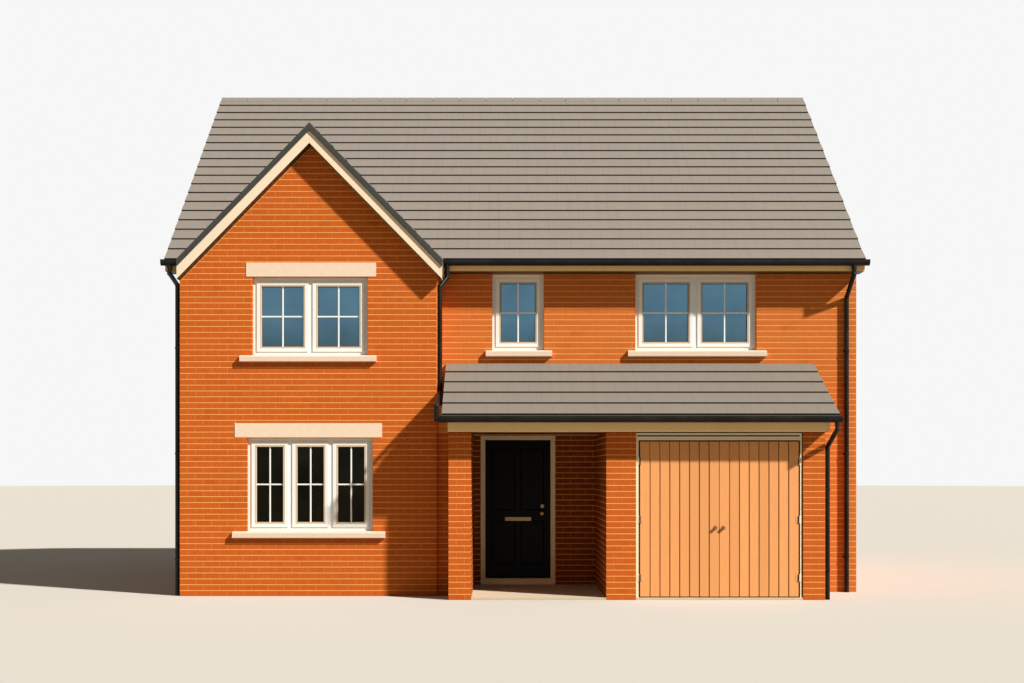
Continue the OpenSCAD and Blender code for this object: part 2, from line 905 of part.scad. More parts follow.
module rear_windows() {
    color("white") for (w = concat(rear_lower, rear_upper)) rotate(180) window(turned(w), -half_d);
}

module front_glass() {
    color("lightblue") {
        glazing(lower_left, gable_y);
        glazing(upper_left, gable_y);
        glazing(small, -half_d);
        glazing(upper_right, -half_d);
    }
}

module rear_glass() {
    color("lightblue") for (w = concat(rear_lower, rear_upper)) rotate(180) glazing(turned(w), -half_d);
}

// Doors

// Half of a butt hinge: its plate lies on the face, and its knuckles on the pin's line at the origin
module hinge_half(own) {
    box([plate_x[0], -pin_out, 0], [plate_x[1], plate_t - pin_out, hinge_h]);
    for (k = own) {
        translate([0, 0, k[0]]) cylinder(h = k[1] - k[0], r = knuckle_r);
        box([0, -pin_out, k[0]], [plate_x[0], plate_t - pin_out, k[1]]);
    }
}

module leaf_half() {
    hinge_half([knuckles[1]]);
}

module frame_half() {
    mirror([1, 0, 0]) hinge_half([knuckles[0], knuckles[2]]);
}

module front_door_frame() {
    color(cream) {
        difference() {
            box([door_x[0], frame_y, porch_floor_z], [door_x[1], frame_back, storey_z]);
            box([door_x[0] + door_member, frame_y - 1, sill_z], [door_x[1] - door_member, frame_back + 1, head_z]);
            box([leaf_x[0] - leaf_gap, leaf_y - leaf_gap, sill_z],
                [leaf_x[1] + leaf_gap, frame_back + 1, leaf_z[1] + leaf_gap]);
        }
        for (z = door_hinge_z) translate([door_pin[0], door_pin[1], z]) frame_half();
    }
}

// The leaf, with a raised and fielded panel in each of its four bays
module front_door() {
    sunk = 9;
    field = 45;
    color("black") {
        difference() {
            box([leaf_x[0], leaf_y, leaf_z[0]], [leaf_x[1], frame_back, leaf_z[1]]);
            for (row = panel_rows, i = [0, 1]) {
                x = leaf_x[0] + stile + i * (panel_w + muntin);
                difference() {
                    box([x, leaf_y - 1, row[0]], [x + panel_w, leaf_y + sunk, row[1]]);
                    box([x + field, leaf_y - 2, row[0] + field],
                        [x + panel_w - field, leaf_y + sunk + 1, row[1] - field]);
                }
            }
        }
        for (z = door_hinge_z) translate([door_pin[0], door_pin[1], z]) leaf_half();
    }
}

// The letter plate, the knob and the lock, on the leaf's face
module front_door_fittings() {
    color("goldenrod") {
        box([-262, leaf_y - 9, 1000], [138, leaf_y, 1056]);
        translate([309, leaf_y, 1224]) rotate([90, 0, 0]) {
            cylinder(h = 6, r = 30);
            cylinder(h = 40, r = 11);
            translate([0, 0, 30]) cylinder(h = 26, r = 26);
        }
        translate([303, leaf_y, 1110]) rotate([90, 0, 0]) cylinder(h = 10, r = 17);
    }
}

// The pin's line of the left leaf, and all that goes on it; the right leaf's is its mirror image
module at_garage_pins() {
    for (side = [0, 1]) translate([garage_mid, garage_face - pin_out, 0]) mirror([side, 0, 0])
        translate([garage_in[0] + leaf_gap / 2 - garage_mid, 0, 0]) mirror([0, 1, 0]) children();
}

module garage_door_frame() {
    color(cream) {
        difference() {
            box([garage_x[0], garage_face, porch_floor_z], [garage_x[1], garage_face + garage_frame_t, storey_z]);
            box([garage_in[0], garage_face - 1, porch_floor_z - 1],
                [garage_in[1], garage_face + garage_frame_t + 1, storey_z - garage_head]);
        }
        at_garage_pins() for (z = garage_hinge_z) translate([0, 0, z]) frame_half();
    }
}

// The left garage leaf: a plan outline with a groove between its boards, its knob, and its hinges
module garage_leaf() {
    x0 = garage_in[0] + leaf_gap;
    x1 = garage_mid - meeting_gap / 2;
    y0 = garage_face;
    pitch = (x1 - x0) / boards;
    grooves = [for (i = [boards - 1 : -1 : 1], p = [[groove, 0], [0, groove], [-groove, 0]])
        [x0 + i * pitch + p[0], y0 + p[1]]];
    up_z(garage_leaf_z[0], garage_leaf_z[1], concat(
        [[x0, y0], [x0, y0 + leaf_t], [x1, y0 + leaf_t], [x1, y0]], grooves
    ));
    translate([garage_mid - 55, y0, 985]) rotate([90, 0, 0]) {
        cylinder(h = 34, r = 9);
        translate([0, 0, 20]) cylinder(h = 20, r = 22);
    }
    for (z = garage_hinge_z)
        translate([garage_in[0] + leaf_gap / 2, y0 - pin_out, z]) mirror([0, 1, 0]) leaf_half();
}

module garage_door_left() {
    color("burlywood") garage_leaf();
}

module garage_door_right() {
    color("burlywood") translate([2 * garage_mid, 0, 0]) mirror([1, 0, 0]) garage_leaf();
}

ground_floor();
garage_floor();
porch_floor();
first_floor();
upper_ceiling();
gable_front_wall();
gable_return_wall();
left_side_wall();
right_side_wall();
rear_wall();
main_front_wall();
porch_left_wall();
porch_middle_wall();
garage_right_wall();
door_wall();
porch_beam();
porch_ceiling();
main_roof_front();
main_roof_rear();
gable_roof();
porch_roof();
ridge_caps();
verge_strips();
barge_boards();
main_eaves();
rear_eaves();
porch_eaves();
main_gutter();
left_gutter();
rear_gutter();
porch_gutter();
left_downpipe();
centre_downpipe();
right_downpipe();
porch_downpipe();
rear_downpipes();
window_lintels();
window_sills();
lower_left_window();
upper_left_window();
small_window();
upper_right_window();
rear_windows();
front_glass();
rear_glass();
front_door_frame();
front_door();
front_door_fittings();
garage_door_frame();
garage_door_left();
garage_door_right();
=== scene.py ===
"""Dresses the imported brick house: bricks, tiles, bars, boards, fittings and finishes, on its own frame."""

import math
import random
from collections import namedtuple

import bmesh
import bpy
from mathutils import Matrix, Vector


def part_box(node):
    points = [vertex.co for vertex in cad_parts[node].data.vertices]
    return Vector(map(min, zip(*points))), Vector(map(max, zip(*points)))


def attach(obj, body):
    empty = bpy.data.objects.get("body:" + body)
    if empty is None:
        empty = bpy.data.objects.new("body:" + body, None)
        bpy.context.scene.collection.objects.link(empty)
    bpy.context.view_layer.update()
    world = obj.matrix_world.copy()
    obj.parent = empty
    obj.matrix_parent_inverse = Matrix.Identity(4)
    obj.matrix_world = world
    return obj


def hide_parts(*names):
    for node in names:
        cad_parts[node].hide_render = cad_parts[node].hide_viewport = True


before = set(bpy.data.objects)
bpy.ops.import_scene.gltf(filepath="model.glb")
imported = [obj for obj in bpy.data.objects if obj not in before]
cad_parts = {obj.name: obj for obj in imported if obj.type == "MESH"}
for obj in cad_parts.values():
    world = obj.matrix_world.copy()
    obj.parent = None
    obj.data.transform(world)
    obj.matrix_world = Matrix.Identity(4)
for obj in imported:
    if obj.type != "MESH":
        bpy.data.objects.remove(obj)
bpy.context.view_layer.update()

bl_info = {
    "name": "Brick House Dressing",
    "version": (1, 0, 0),
    "blender": (4, 5, 0),
    "location": "View3D > Sidebar > House",
    "description": "Bricks, roof tiles, window bars, door fittings and finishes for a detached house",
    "category": "Object",
}

HOUSE = "house"
FRONT_DOOR = "front_door"
LEFT_LEAF = "garage_left"
RIGHT_LEAF = "garage_right"
X, Y, Z = Vector((1, 0, 0)), Vector((0, 1, 0)), Vector((0, 0, 1))


def low(node):
    """Lowest corner of a node's box."""
    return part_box(node)[0]


def high(node):
    """Highest corner of a node's box."""
    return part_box(node)[1]


def sizes():
    """The sizes and colours that the panel shows."""
    return bpy.context.scene.house_sizes


# Places taken from the frame
WALL_L = low("left_side_wall").x
WALL_R = high("right_side_wall").x
FRONT_Y = low("main_front_wall").y
REAR_Y = high("rear_wall").y
GABLE_Y = low("gable_front_wall").y
GABLE_R = high("gable_front_wall").x
PORCH_Y = low("porch_middle_wall").y
DOOR_Y = low("door_wall").y
PIER_L = (low("porch_eaves").x, low("porch_floor").x)
PIER_M = (low("porch_middle_wall").x, high("porch_middle_wall").x)
PIER_R = (low("garage_right_wall").x, high("garage_right_wall").x)
CEILING_Z = low("first_floor").z
SOFFIT_Z = low("main_eaves").z
RIDGE_Z = high("main_roof_front").z
EAVE_Y = low("main_roof_front").y
VERGE_L = low("main_roof_front").x
VERGE_R = high("main_roof_front").x
GABLE_RIDGE = Vector(((low("gable_roof").x + high("gable_roof").x) / 2, 0, high("gable_roof").z))
GABLE_FRONT = low("gable_roof").y
GABLE_HALF = (high("gable_roof").x - low("gable_roof").x) / 2
PORCH_TOP = Vector((low("porch_roof").x, high("porch_roof").y, high("porch_roof").z))
PORCH_EAVE = low("porch_roof").y

MAIN_PITCH, GABLE_PITCH, PORCH_PITCH = (math.radians(degrees) for degrees in (40, 45.7, 27.4))
MAIN_TAN, GABLE_TAN = math.tan(MAIN_PITCH), math.tan(GABLE_PITCH)
# How far before the middle of the house the gable's ridge meets the main roof
VALLEY_TOP = (RIDGE_Z - GABLE_RIDGE.z) / MAIN_TAN

# The garage leaves: their face without the knobs, their hinge pins and the width of a board
KNOB_REACH = 0.04
GARAGE_FACE = low("garage_door_left").y + KNOB_REACH
GARAGE_L, GARAGE_R = low("garage_door_left").x, high("garage_door_right").x
GARAGE_MIDDLE = (high("garage_door_left").x + low("garage_door_right").x) / 2
GARAGE_PIN = (GARAGE_R - GARAGE_L) / 2 - 0.007
GARAGE_BOARD = (GARAGE_R - GARAGE_L - 0.011) / 16
PIN_REACH = 0.0097
KNOB_ZONE = 0.12

# The front windows: casements, lintel as (left, right, bottom, top) and the ends of the sill
WINDOWS = {
    "lower_left_window": (3, (-4.089, -2.007, 2.242, 2.442), (-4.116, -1.962)),
    "upper_left_window": (2, (-3.928, -2.092, 4.515, 4.708), (-4.013, -2.088)),
    "small_window": (1, None, (-0.548, 0.419)),
    "upper_right_window": (2, None, (1.527, 3.551)),
}
# The rear windows: left, right, bottom, top and casements
REAR_WINDOWS = (
    (-4.0, -2.222, 0.916, 2.234, 3),
    (1.5, 3.278, 0.916, 2.234, 3),
    (-4.0, -2.228, 3.532, 4.64, 2),
    (1.506, 3.278, 3.532, 4.64, 2),
)
REAR_REVEAL = 0.07
REAR_SILL_SPREAD = 0.11
REAR_LINTEL_SPREAD = 0.15
LINTEL_H = 0.2
SILL_H = 0.098
FRAME_W = 0.055
SASH_W = 0.07
MULLION_W = 0.06
# How far the frame, and in it the glass, stand back from the front of a window
FRAME_BACK = 0.014
GLASS_BACK = 0.02


def size_property(name, description, default, **limits):
    """A size in the panel, which may have a min and a max."""
    return bpy.props.FloatProperty(name=name, description=description, default=default, unit="LENGTH", **limits)


def colour_property(name, description, default):
    """A colour in the panel."""
    return bpy.props.FloatVectorProperty(
        name=name, description=description, default=default, subtype="COLOR", size=3
    )


class HouseSizes(bpy.types.PropertyGroup):
    """Sizes and colours of the dressing that a user would change."""

    brick_length: size_property("Brick length", "Length of a stretcher", 0.215, min=0.19, max=0.24)
    brick_height: size_property("Brick height", "Height of a brick", 0.071, min=0.05, max=0.08)
    joint: size_property("Mortar joint", "Width of the bed joints", 0.012, min=0.006, max=0.014)
    brick_proud: size_property("Brick relief", "How far the bricks stand before the mortar", 0.002)
    tile_gauge: size_property("Tile gauge", "Length of a course of the main roof", 0.279)
    porch_gauge: size_property("Porch tile gauge", "Length of a course of the lean-to roof", 0.36)
    tile_cover: size_property("Tile width", "Width that one tile covers", 0.3)
    tile_butt: size_property("Tile butt", "Thickness of a tile's lower edge", 0.026)
    bar_width: size_property("Bar width", "Width of the window bars", 0.022)
    brick_colour: colour_property("Brick", "Colour of the bricks", (0.530, 0.110, 0.012))
    mortar_colour: colour_property("Mortar", "Colour of the mortar", (0.88, 0.42, 0.13))
    tile_colour: colour_property("Roof tile", "Colour of the roof tiles", (0.246, 0.222, 0.206))
    cream_colour: colour_property("Cream", "Colour of the painted boards", (0.86, 0.74, 0.60))
    stone_colour: colour_property("Stone", "Colour of sills and lintels", (0.82, 0.668, 0.545))
    garage_colour: colour_property("Garage boards", "Colour of the garage doors", (0.83, 0.372, 0.143))


# Materials


def shade(colour, factor):
    """A colour made darker or lighter."""
    return tuple(min(1.0, c * factor) for c in colour)


class Graph:
    """A node tree: each method adds a node or two and gives back an output."""

    def __init__(self, tree):
        self.tree = tree

    def fill(self, socket, value):
        """Gives an input a number, a colour or another node's output."""
        if isinstance(value, bpy.types.NodeSocket):
            self.tree.links.new(value, socket)
        elif value is not None:
            socket.default_value = (*value, 1) if socket.type == "RGBA" else value

    def add(self, kind, output, *inputs, **settings):
        """Adds a node with its settings, and its inputs as (name, value)."""
        node = self.tree.nodes.new("ShaderNode" + kind)
        for name, value in settings.items():
            setattr(node, name, value)
        for name, value in inputs:
            self.fill(node.inputs[name], value)
        return node.outputs[output]

    def math(self, operation, *values):
        """The value of a Math node."""
        return self.add("Math", 0, *enumerate(values), operation=operation)

    def all_of(self, first, *others):
        """A factor that is 1 where all the given factors are 1."""
        for other in others:
            first = self.math("MULTIPLY", first, other)
        return first

    def mix(self, factor, first, second):
        """A mix of two colours."""
        return self.add("Mix", 2, (0, factor), (6, first), (7, second), data_type="RGBA")

    def ramp(self, value, start, end):
        """A value stretched so that start gives 0 and end gives 1."""
        return self.add("MapRange", "Result", ("Value", value), ("From Min", start), ("From Max", end))

    def noise(self, scale, detail=4.0, roughness=0.55, stretch=None):
        """Noise over the object's coordinates, which may be stretched first."""
        coords = self.coords
        if stretch:
            coords = self.add("Mapping", "Vector", ("Scale", stretch), ("Vector", coords))
        return self.add(
            "TexNoise", "Fac", ("Scale", scale), ("Detail", detail), ("Roughness", roughness), ("Vector", coords)
        )

    def speckled(self, share, base, grain, colour, dark, pale):
        """A base with a share of dark and pale specks of a colour."""
        return self.mix(share, base, self.mix(grain, shade(colour, dark), shade(colour, pale)))


class Finish(Graph):
    """A new material on the object's own coordinates."""

    def __init__(self, name, roughness, specular=0.5, metallic=0.0):
        self.material = bpy.data.materials.new(name)
        self.material.use_nodes = True
        super().__init__(self.material.node_tree)
        self.shader = self.tree.nodes["Principled BSDF"]
        self.set("Roughness", roughness)
        self.set("Specular IOR Level", specular)
        self.set("Metallic", metallic)
        self.coords = self.add("TexCoord", "Object")

    def set(self, name, value):
        """Gives an input of the shader a value or another node's output."""
        self.fill(self.shader.inputs[name], value)

    def axes(self):
        """X, Y and Z of the coordinates."""
        return tuple(self.add("SeparateXYZ", 0, (0, self.coords)).node.outputs)

    def tone(self):
        """The random tone that each brick or tile carries."""
        return self.add("Attribute", "Fac", attribute_name="tone")

    def done(self, base, height, distance, roughness=None):
        """Links the colour, the bump and the roughness, and gives back the material."""
        self.set("Base Color", base)
        self.set("Roughness", roughness)
        self.set("Normal", self.add("Bump", "Normal", ("Distance", distance), ("Height", height)))
        return self.material


def grainy(name, colour, roughness, scale, distance, spread=0.12):
    """A finish whose colour drifts in broad patches and fine grain, with a bump from the grain."""
    finish = Finish(name, roughness, 0.25)
    broad = finish.ramp(finish.noise(scale * 0.12, 3), 0.3, 0.7)
    fine = finish.noise(scale, 6, 0.65)
    base = finish.mix(broad, shade(colour, 1 - spread), shade(colour, 1 + spread))
    base = finish.speckled(0.35, base, finish.ramp(fine, 0.35, 0.65), colour, 0.8, 1.12)
    rough = finish.math("MULTIPLY_ADD", finish.ramp(fine, -1.5, 1.5), 0.25, roughness - 0.12)
    return finish.done(base, fine, distance, rough)


def brick_material(name, factor=1.0, rubbed=0.0):
    """Fired clay: each brick has its own tone, with sandy grain and kiln marks, and the clay may be paled towards
    the mortar's colour.
    """
    # A factor below one darkens the clay, as for the painted shade of the porch recess.
    clay = shade(sizes().brick_colour, factor)
    clay = tuple(c + (m - c) * rubbed for c, m in zip(clay, sizes().mortar_colour))
    warm = tuple(c * more for c, more in zip(clay, (1.05, 1.12, 1.2)))
    finish = Finish(name, 0.85, 0.2)
    tone = finish.tone()
    base = finish.mix(tone, shade(clay, 0.92), warm)
    base = finish.mix(finish.ramp(tone, 0.04, 0.0), base, shade(clay, 0.8))
    base = finish.mix(finish.ramp(finish.noise(9), 0.35, 0.7), base, shade(clay, 1.08))
    sand = finish.noise(320, 3, 0.7)
    base = finish.speckled(0.3, base, finish.ramp(sand, 0.3, 0.7), clay, 0.6, 1.35)
    return finish.done(base, finish.math("ADD", sand, finish.noise(60)), 0.0016)


ROOM_INSET = (0.27, 0.22)
PLASTER_COLOUR = (0.74, 0.71, 0.65)


def wall_material(name):
    """Mortar outside, with a painted shade in the upright joints, and painted plaster on the faces inside the
    rooms.
    """
    finish = Finish(name, 0.9, 0.2)
    mortar, clay = tuple(sizes().mortar_colour), tuple(sizes().brick_colour)
    grain = finish.noise(260, 4, 0.7)
    patch = finish.ramp(finish.noise(2.2), 0.3, 0.7)
    base = finish.mix(patch, shade(mortar, 0.86), shade(mortar, 1.08))
    base = finish.speckled(0.3, base, grain, mortar, 0.6, 1.3)
    x, y, z = finish.axes()
    # Painted shade: within the height of each course, the mortar of the upright joints is mixed towards the brick's
    # colour.
    height = finish.math("FLOORED_MODULO", z, sizes().brick_height + sizes().joint)
    behind = finish.math("LESS_THAN", height, sizes().brick_height)
    base = finish.mix(finish.math("MULTIPLY", behind, 0.55), base, clay)
    porch = finish.all_of(
        finish.math("GREATER_THAN", x, PIER_L[1] - 0.05),
        finish.math("LESS_THAN", y, DOOR_Y + 0.04),
        finish.math("LESS_THAN", z, CEILING_Z + 0.05),
    )
    inside = finish.all_of(
        finish.math("LESS_THAN", finish.math("ABSOLUTE", x), WALL_R - ROOM_INSET[0]),
        finish.math("LESS_THAN", finish.math("ABSOLUTE", y), REAR_Y - ROOM_INSET[1]),
        finish.math("SUBTRACT", 1.0, porch),
    )
    return finish.done(finish.mix(inside, base, PLASTER_COLOUR), grain, 0.0012)


def tile_material(name, colour):
    """Concrete roof tile: a tone for each tile, fine grit, faint run-off streaks, and a painted shade on the edge
    faces.
    """
    finish = Finish(name, 0.75, 0.2)
    tone = finish.tone()
    base = finish.mix(tone, shade(colour, 0.985), shade(colour, 1.015))
    streak = finish.ramp(finish.noise(1.0, 5, stretch=(14, 0.8, 0.8)), 0.42, 0.72)
    base = finish.mix(streak, base, shade(colour, 0.93))
    grit = finish.noise(240, 3, 0.7)
    base = finish.speckled(0.28, base, finish.ramp(grit, 0.3, 0.7), colour, 0.6, 1.45)
    # Painted shade on each tile's edge faces.
    edge = finish.math("LESS_THAN", tone, PAINTED_SHADE_TONE / 2)
    return finish.done(finish.mix(edge, base, shade(colour, 0.16)), grit, 0.0014)


def glass_material(name):
    """Window glass: mirror-like, with a painted reflection of a blue sky over a hazy skyline upstairs and a painted
    dark room downstairs, slightly wavy.
    """
    finish = Finish(name, 0.08, metallic=0.92)
    height = finish.axes()[2]
    cloud = finish.ramp(finish.noise(1.4, 3), 0.3, 0.7)
    # Painted reflections in the base colour of the mirror-like glass: sky and skyline upstairs, a dark room
    # downstairs.
    sky = finish.mix(cloud, (0.082, 0.172, 0.246), (0.104, 0.220, 0.308))
    painted_skyline = finish.mix(cloud, (0.046, 0.084, 0.098), (0.070, 0.135, 0.165))
    painted_dark_room = finish.mix(cloud, (0.003, 0.0025, 0.001), (0.012, 0.011, 0.005))
    above = finish.mix(finish.ramp(height, 3.45, 4.0), painted_skyline, sky)
    finish.set("Alpha", 0.96)
    return finish.done(finish.mix(finish.ramp(height, 2.4, 3.2), painted_dark_room, above), finish.noise(2.6, 2), 0.0004)


def plastic(name, colour, roughness, specular=0.5):
    """Moulded plastic with a slight orange-peel and a film of dust in patches."""
    finish = Finish(name, roughness, specular)
    dust = finish.ramp(finish.noise(3.5, 5), 0.42, 0.8)
    base = finish.mix(dust, colour, tuple(c * 0.94 + 0.012 for c in colour))
    return finish.done(base, finish.noise(180, 2), 0.0003, finish.math("MULTIPLY_ADD", dust, 0.16, roughness))


def painted_wood(name, colour, roughness, along=(30, 30, 2), spread=0.05, specular=0.3, under=None):
    """Painted timber, with the grain telegraphing through the paint; faces that look down may take a painted shade.
    """
    finish = Finish(name, roughness, specular)
    grain = finish.noise(4, 6, 0.7, along)
    patch = finish.ramp(finish.noise(1.8), 0.3, 0.75)
    base = finish.mix(patch, shade(colour, 1 - spread), shade(colour, 1 + spread))
    base = finish.mix(finish.ramp(grain, 0.5, 0.75), base, shade(colour, 0.88))
    # Painted shade: faces that look down take the under colour.
    if under:
        normal = finish.add("NewGeometry", "True Normal")
        up = finish.add("SeparateXYZ", "Z", (0, normal))
        base = finish.mix(finish.math("LESS_THAN", up, -0.5), base, under)
    return finish.done(base, grain, 0.0006)


def before_the_face(finish, y):
    """A factor that is 1 for what stands before the garage's boards: knobs and knuckles."""
    return finish.math("LESS_THAN", y, GARAGE_FACE - 0.0005)


def knuckles(finish, x, y):
    """A factor that is 1 on the knuckles round the hinge pins of the garage leaves."""
    apart = finish.math("ABSOLUTE", finish.math("SUBTRACT", x, GARAGE_MIDDLE))
    return finish.all_of(before_the_face(finish, y), finish.math("COMPARE", apart, GARAGE_PIN, PIN_REACH))


def garage_frame_material(name):
    """The garage frame's paint, with the knuckles of its hinges dark."""
    finish = Finish(name, 0.45, 0.3)
    x, y, _ = finish.axes()
    grain = finish.noise(4, 6, 0.7, (30, 30, 2))
    base = finish.mix(finish.ramp(grain, 0.5, 0.75), (0.97, 0.82, 0.60), (0.88, 0.75, 0.55))
    return finish.done(finish.mix(knuckles(finish, x, y), base, KNUCKLE_COLOUR), grain, 0.0006)


def board_material(name):
    """Stained boards: long grain, a tone for each board, a groove with a painted shade on its left side, dark knobs
    and knuckles.
    """
    colour = tuple(sizes().garage_colour)
    finish = Finish(name, 0.5, 0.2)
    x, y, _ = finish.axes()
    across = finish.math("SUBTRACT", x, GARAGE_MIDDLE)
    board = finish.math("FLOOR", finish.math("DIVIDE", across, GARAGE_BOARD))
    tone = finish.add("TexWhiteNoise", "Value", ("W", board), noise_dimensions="1D")
    grain = finish.noise(3, 6, 0.65, (26, 26, 1.1))
    fine = finish.noise(3, 4, 0.6, (160, 160, 4))
    base = finish.mix(tone, shade(colour, 0.92), shade(colour, 1.08))
    base = finish.mix(finish.ramp(grain, 0.45, 0.72), base, shade(colour, 0.88))
    base = finish.speckled(0.16, base, fine, colour, 0.7, 1.3)
    # Painted shade on the left side of each groove; the right side keeps nearly the board's colour.
    groove = finish.all_of(
        finish.math("GREATER_THAN", y, GARAGE_FACE + 0.0012), finish.math("LESS_THAN", y, GARAGE_FACE + 0.012)
    )
    painted_shade_side = finish.math("LESS_THAN", finish.math("FLOORED_MODULO", across, GARAGE_BOARD), GARAGE_BOARD / 2)
    base = finish.mix(groove, base, finish.mix(painted_shade_side, shade(colour, 0.12), shade(colour, 0.95)))
    near = finish.math("LESS_THAN", finish.math("ABSOLUTE", across), KNOB_ZONE)
    knob = finish.all_of(before_the_face(finish, y), near)
    base = finish.mix(knob, base, (0.24, 0.13, 0.065))
    base = finish.mix(knuckles(finish, x, y), base, KNUCKLE_COLOUR)
    rough = finish.math("MULTIPLY_ADD", knob, -0.2, 0.5)
    return finish.done(base, finish.math("ADD", grain, fine), 0.0006, rough)


def metal(name, colour, roughness):
    """Cast and polished metal with a worn, cloudy sheen."""
    finish = Finish(name, roughness, metallic=1.0)
    cloud = finish.ramp(finish.noise(26, 5), 0.3, 0.75)
    base = finish.mix(cloud, shade(colour, 0.7), shade(colour, 1.2))
    return finish.done(base, finish.noise(140, 3), 0.0003, finish.math("MULTIPLY_ADD", cloud, 0.2, roughness))


def boards_along_x(name, colour):
    """Painted boards whose grain runs along X, with a painted shade on the faces that look down."""
    return painted_wood(name, colour, 0.45, (2, 30, 30), under=UNDERSIDE_PAINTED_SHADE)


def cast_stone(name, factor=1.0):
    """Pale cast stone with a fine grain."""
    return grainy(name, shade(sizes().stone_colour, factor), 0.8, 150, 0.0009, 0.04)


# The tone that marks the edge faces of tiles for their painted shade
PAINTED_SHADE_TONE = -1
# The painted shade on the faces of boards that look down
UNDERSIDE_PAINTED_SHADE = (0.045, 0.024, 0.010)
KNUCKLE_COLOUR = (0.020, 0.014, 0.010)
MAKERS = {
    "brick": brick_material,
    # Painted shade: the bricks of the porch recess are darkened to about half.
    "recess_brick_painted_shade": lambda name: brick_material(name, 0.48),
    # Bricks mixed a little towards the mortar's colour, and so paler.
    "paler_brick": lambda name: brick_material(name, rubbed=0.11),
    "mortar": wall_material,
    "roof_tile": lambda name: tile_material(name, tuple(sizes().tile_colour)),
    "porch_tile": lambda name: tile_material(name, (0.224, 0.202, 0.182)),
    "underlay": lambda name: grainy(name, (0.10, 0.09, 0.085), 0.9, 60, 0.001),
    "verge": lambda name: plastic(name, (0.048, 0.050, 0.047), 0.5, 0.2),
    "cream": lambda name: boards_along_x(name, tuple(sizes().cream_colour)),
    # Painted light: a warmer, paler copy of the cream for the fascias, which stand in shade.
    "fascia": lambda name: boards_along_x(name, (1.0, 0.68, 0.35)),
    # Painted light: the door frame's cream is made as pale as it goes, because the frame stands in the porch's
    # shade.
    "door_cream_painted_light": lambda name: painted_wood(name, (1.0, 0.84, 0.58), 0.45),
    "garage_frame": garage_frame_material,
    "stone": cast_stone,
    "sill_stone": lambda name: cast_stone(name, 0.93),
    "white": lambda name: plastic(name, (0.84, 0.88, 0.91), 0.3),
    # Painted shade: the tan of the beads stands for the shade on their bevels.
    "bead": lambda name: plastic(name, (0.60, 0.47, 0.34), 0.4, 0.2),
    "window_glass": glass_material,
    "rain_black": lambda name: plastic(name, (0.006, 0.0058, 0.0052), 0.36, 0.16),
    "concrete": lambda name: grainy(name, (0.62, 0.53, 0.42), 0.9, 90, 0.002, 0.06),
    "plaster": lambda name: grainy(name, (0.72, 0.70, 0.66), 0.9, 90, 0.0008, 0.03),
    "black_paint": lambda name: painted_wood(name, (0.002, 0.0017, 0.0013), 0.42, spread=0.2, specular=0.06),
    "garage_boards": board_material,
    "brass": lambda name: metal(name, (0.30, 0.19, 0.08), 0.4),
    "bronze": lambda name: metal(name, (0.16, 0.10, 0.06), 0.42),
    # Painted shade: the near-black strips in the gaps of the garage frame.
    "gap_painted_shade": lambda name: plastic(name, (0.004, 0.004, 0.005), 0.7, 0.05),
    "gasket": lambda name: plastic(name, (0.012, 0.012, 0.012), 0.6, 0.2),
}
FINISHES = {}


def finish_of(name):
    """The named material, made the first time it is asked for."""
    if name not in FINISHES:
        FINISHES[name] = MAKERS[name](name)
    return FINISHES[name]


# Modelling helpers


def piece(name, bm, material, body=HOUSE, slot=None):
    """Turns a bmesh into a finished piece that rides on a body."""
    mesh = bpy.data.meshes.new(name)
    bm.to_mesh(mesh)
    bm.free()
    made = bpy.data.objects.new(name, mesh)
    bpy.context.scene.collection.objects.link(made)
    mesh.materials.append(finish_of(material))
    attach(made, body)
    return made


def closed_piece(name, bm, *finish):
    """A piece of closed shapes, whose normals are turned outwards first."""
    bmesh.ops.recalc_face_normals(bm, faces=list(bm.faces))
    return piece(name, bm, *finish)


def tone_layer(bm):
    """The layer that holds the random tone of each brick or tile."""
    return bm.faces.layers.float.get("tone") or bm.faces.layers.float.new("tone")


def flat_face(bm, corners):
    """Adds one face through its corners."""
    return bm.faces.new([bm.verts.new(corner) for corner in corners])


def turn_to(face, out):
    """Turns a face's normal towards the outside."""
    face.normal_update()
    if face.normal.dot(out) < 0:
        face.normal_flip()


def geometry_of(faces):
    """Faces with their edges and vertices, as the bisect operator wants them."""
    return list({v for f in faces for v in f.verts} | {e for f in faces for e in f.edges}) + faces


def block(bm, lowest, highest, bevel, segments=1):
    """Adds a box between two corners, with its edges bevelled."""
    lowest, highest = Vector(lowest), Vector(highest)
    size = highest - lowest
    place = Matrix.Translation((lowest + highest) / 2) @ Matrix.Diagonal((*size, 1))
    verts = bmesh.ops.create_cube(bm, size=1, matrix=place)["verts"]
    bmesh.ops.bevel(
        bm, geom=list({e for v in verts for e in v.link_edges}), offset=min(bevel, min(size) * 0.45),
        segments=segments, profile=0.5, affect="EDGES", material=-1,
    )


def rose(bm, x, face, z, radius, thick, flare, sides):
    """Adds the round plate behind a knob, on a face that looks to the front and wider where it meets it."""
    start, end = Vector((x, face - thick, z)), Vector((x, face, z))
    way = end - start
    place = Matrix.Translation((start + end) / 2) @ way.to_track_quat("Z", "Y").to_matrix().to_4x4()
    bmesh.ops.create_cone(
        bm, cap_ends=True, segments=sides, radius1=radius, radius2=radius + flare, depth=way.length, matrix=place
    )


def extruded(bm, face, way):
    """Extrudes a face along a way, and gives back the vertices that moved."""
    made = bmesh.ops.extrude_face_region(bm, geom=[face])["geom"]
    moved = [g for g in made if isinstance(g, bmesh.types.BMVert)]
    bmesh.ops.translate(bm, verts=moved, vec=way)
    return moved


# Brickwork

# Upright joints are narrower than bed joints
UPRIGHT_JOINT = 0.6
SMALLEST_CUT = 0.012
SMALLEST_AREA = 0.0002
ARRIS = 0.001

# One face of brickwork: a corner, the way along it, the way out of it, its size, and what is left out of it
Face = namedtuple("Face", "origin along out width bottom top holes cuts", defaults=((), ()))


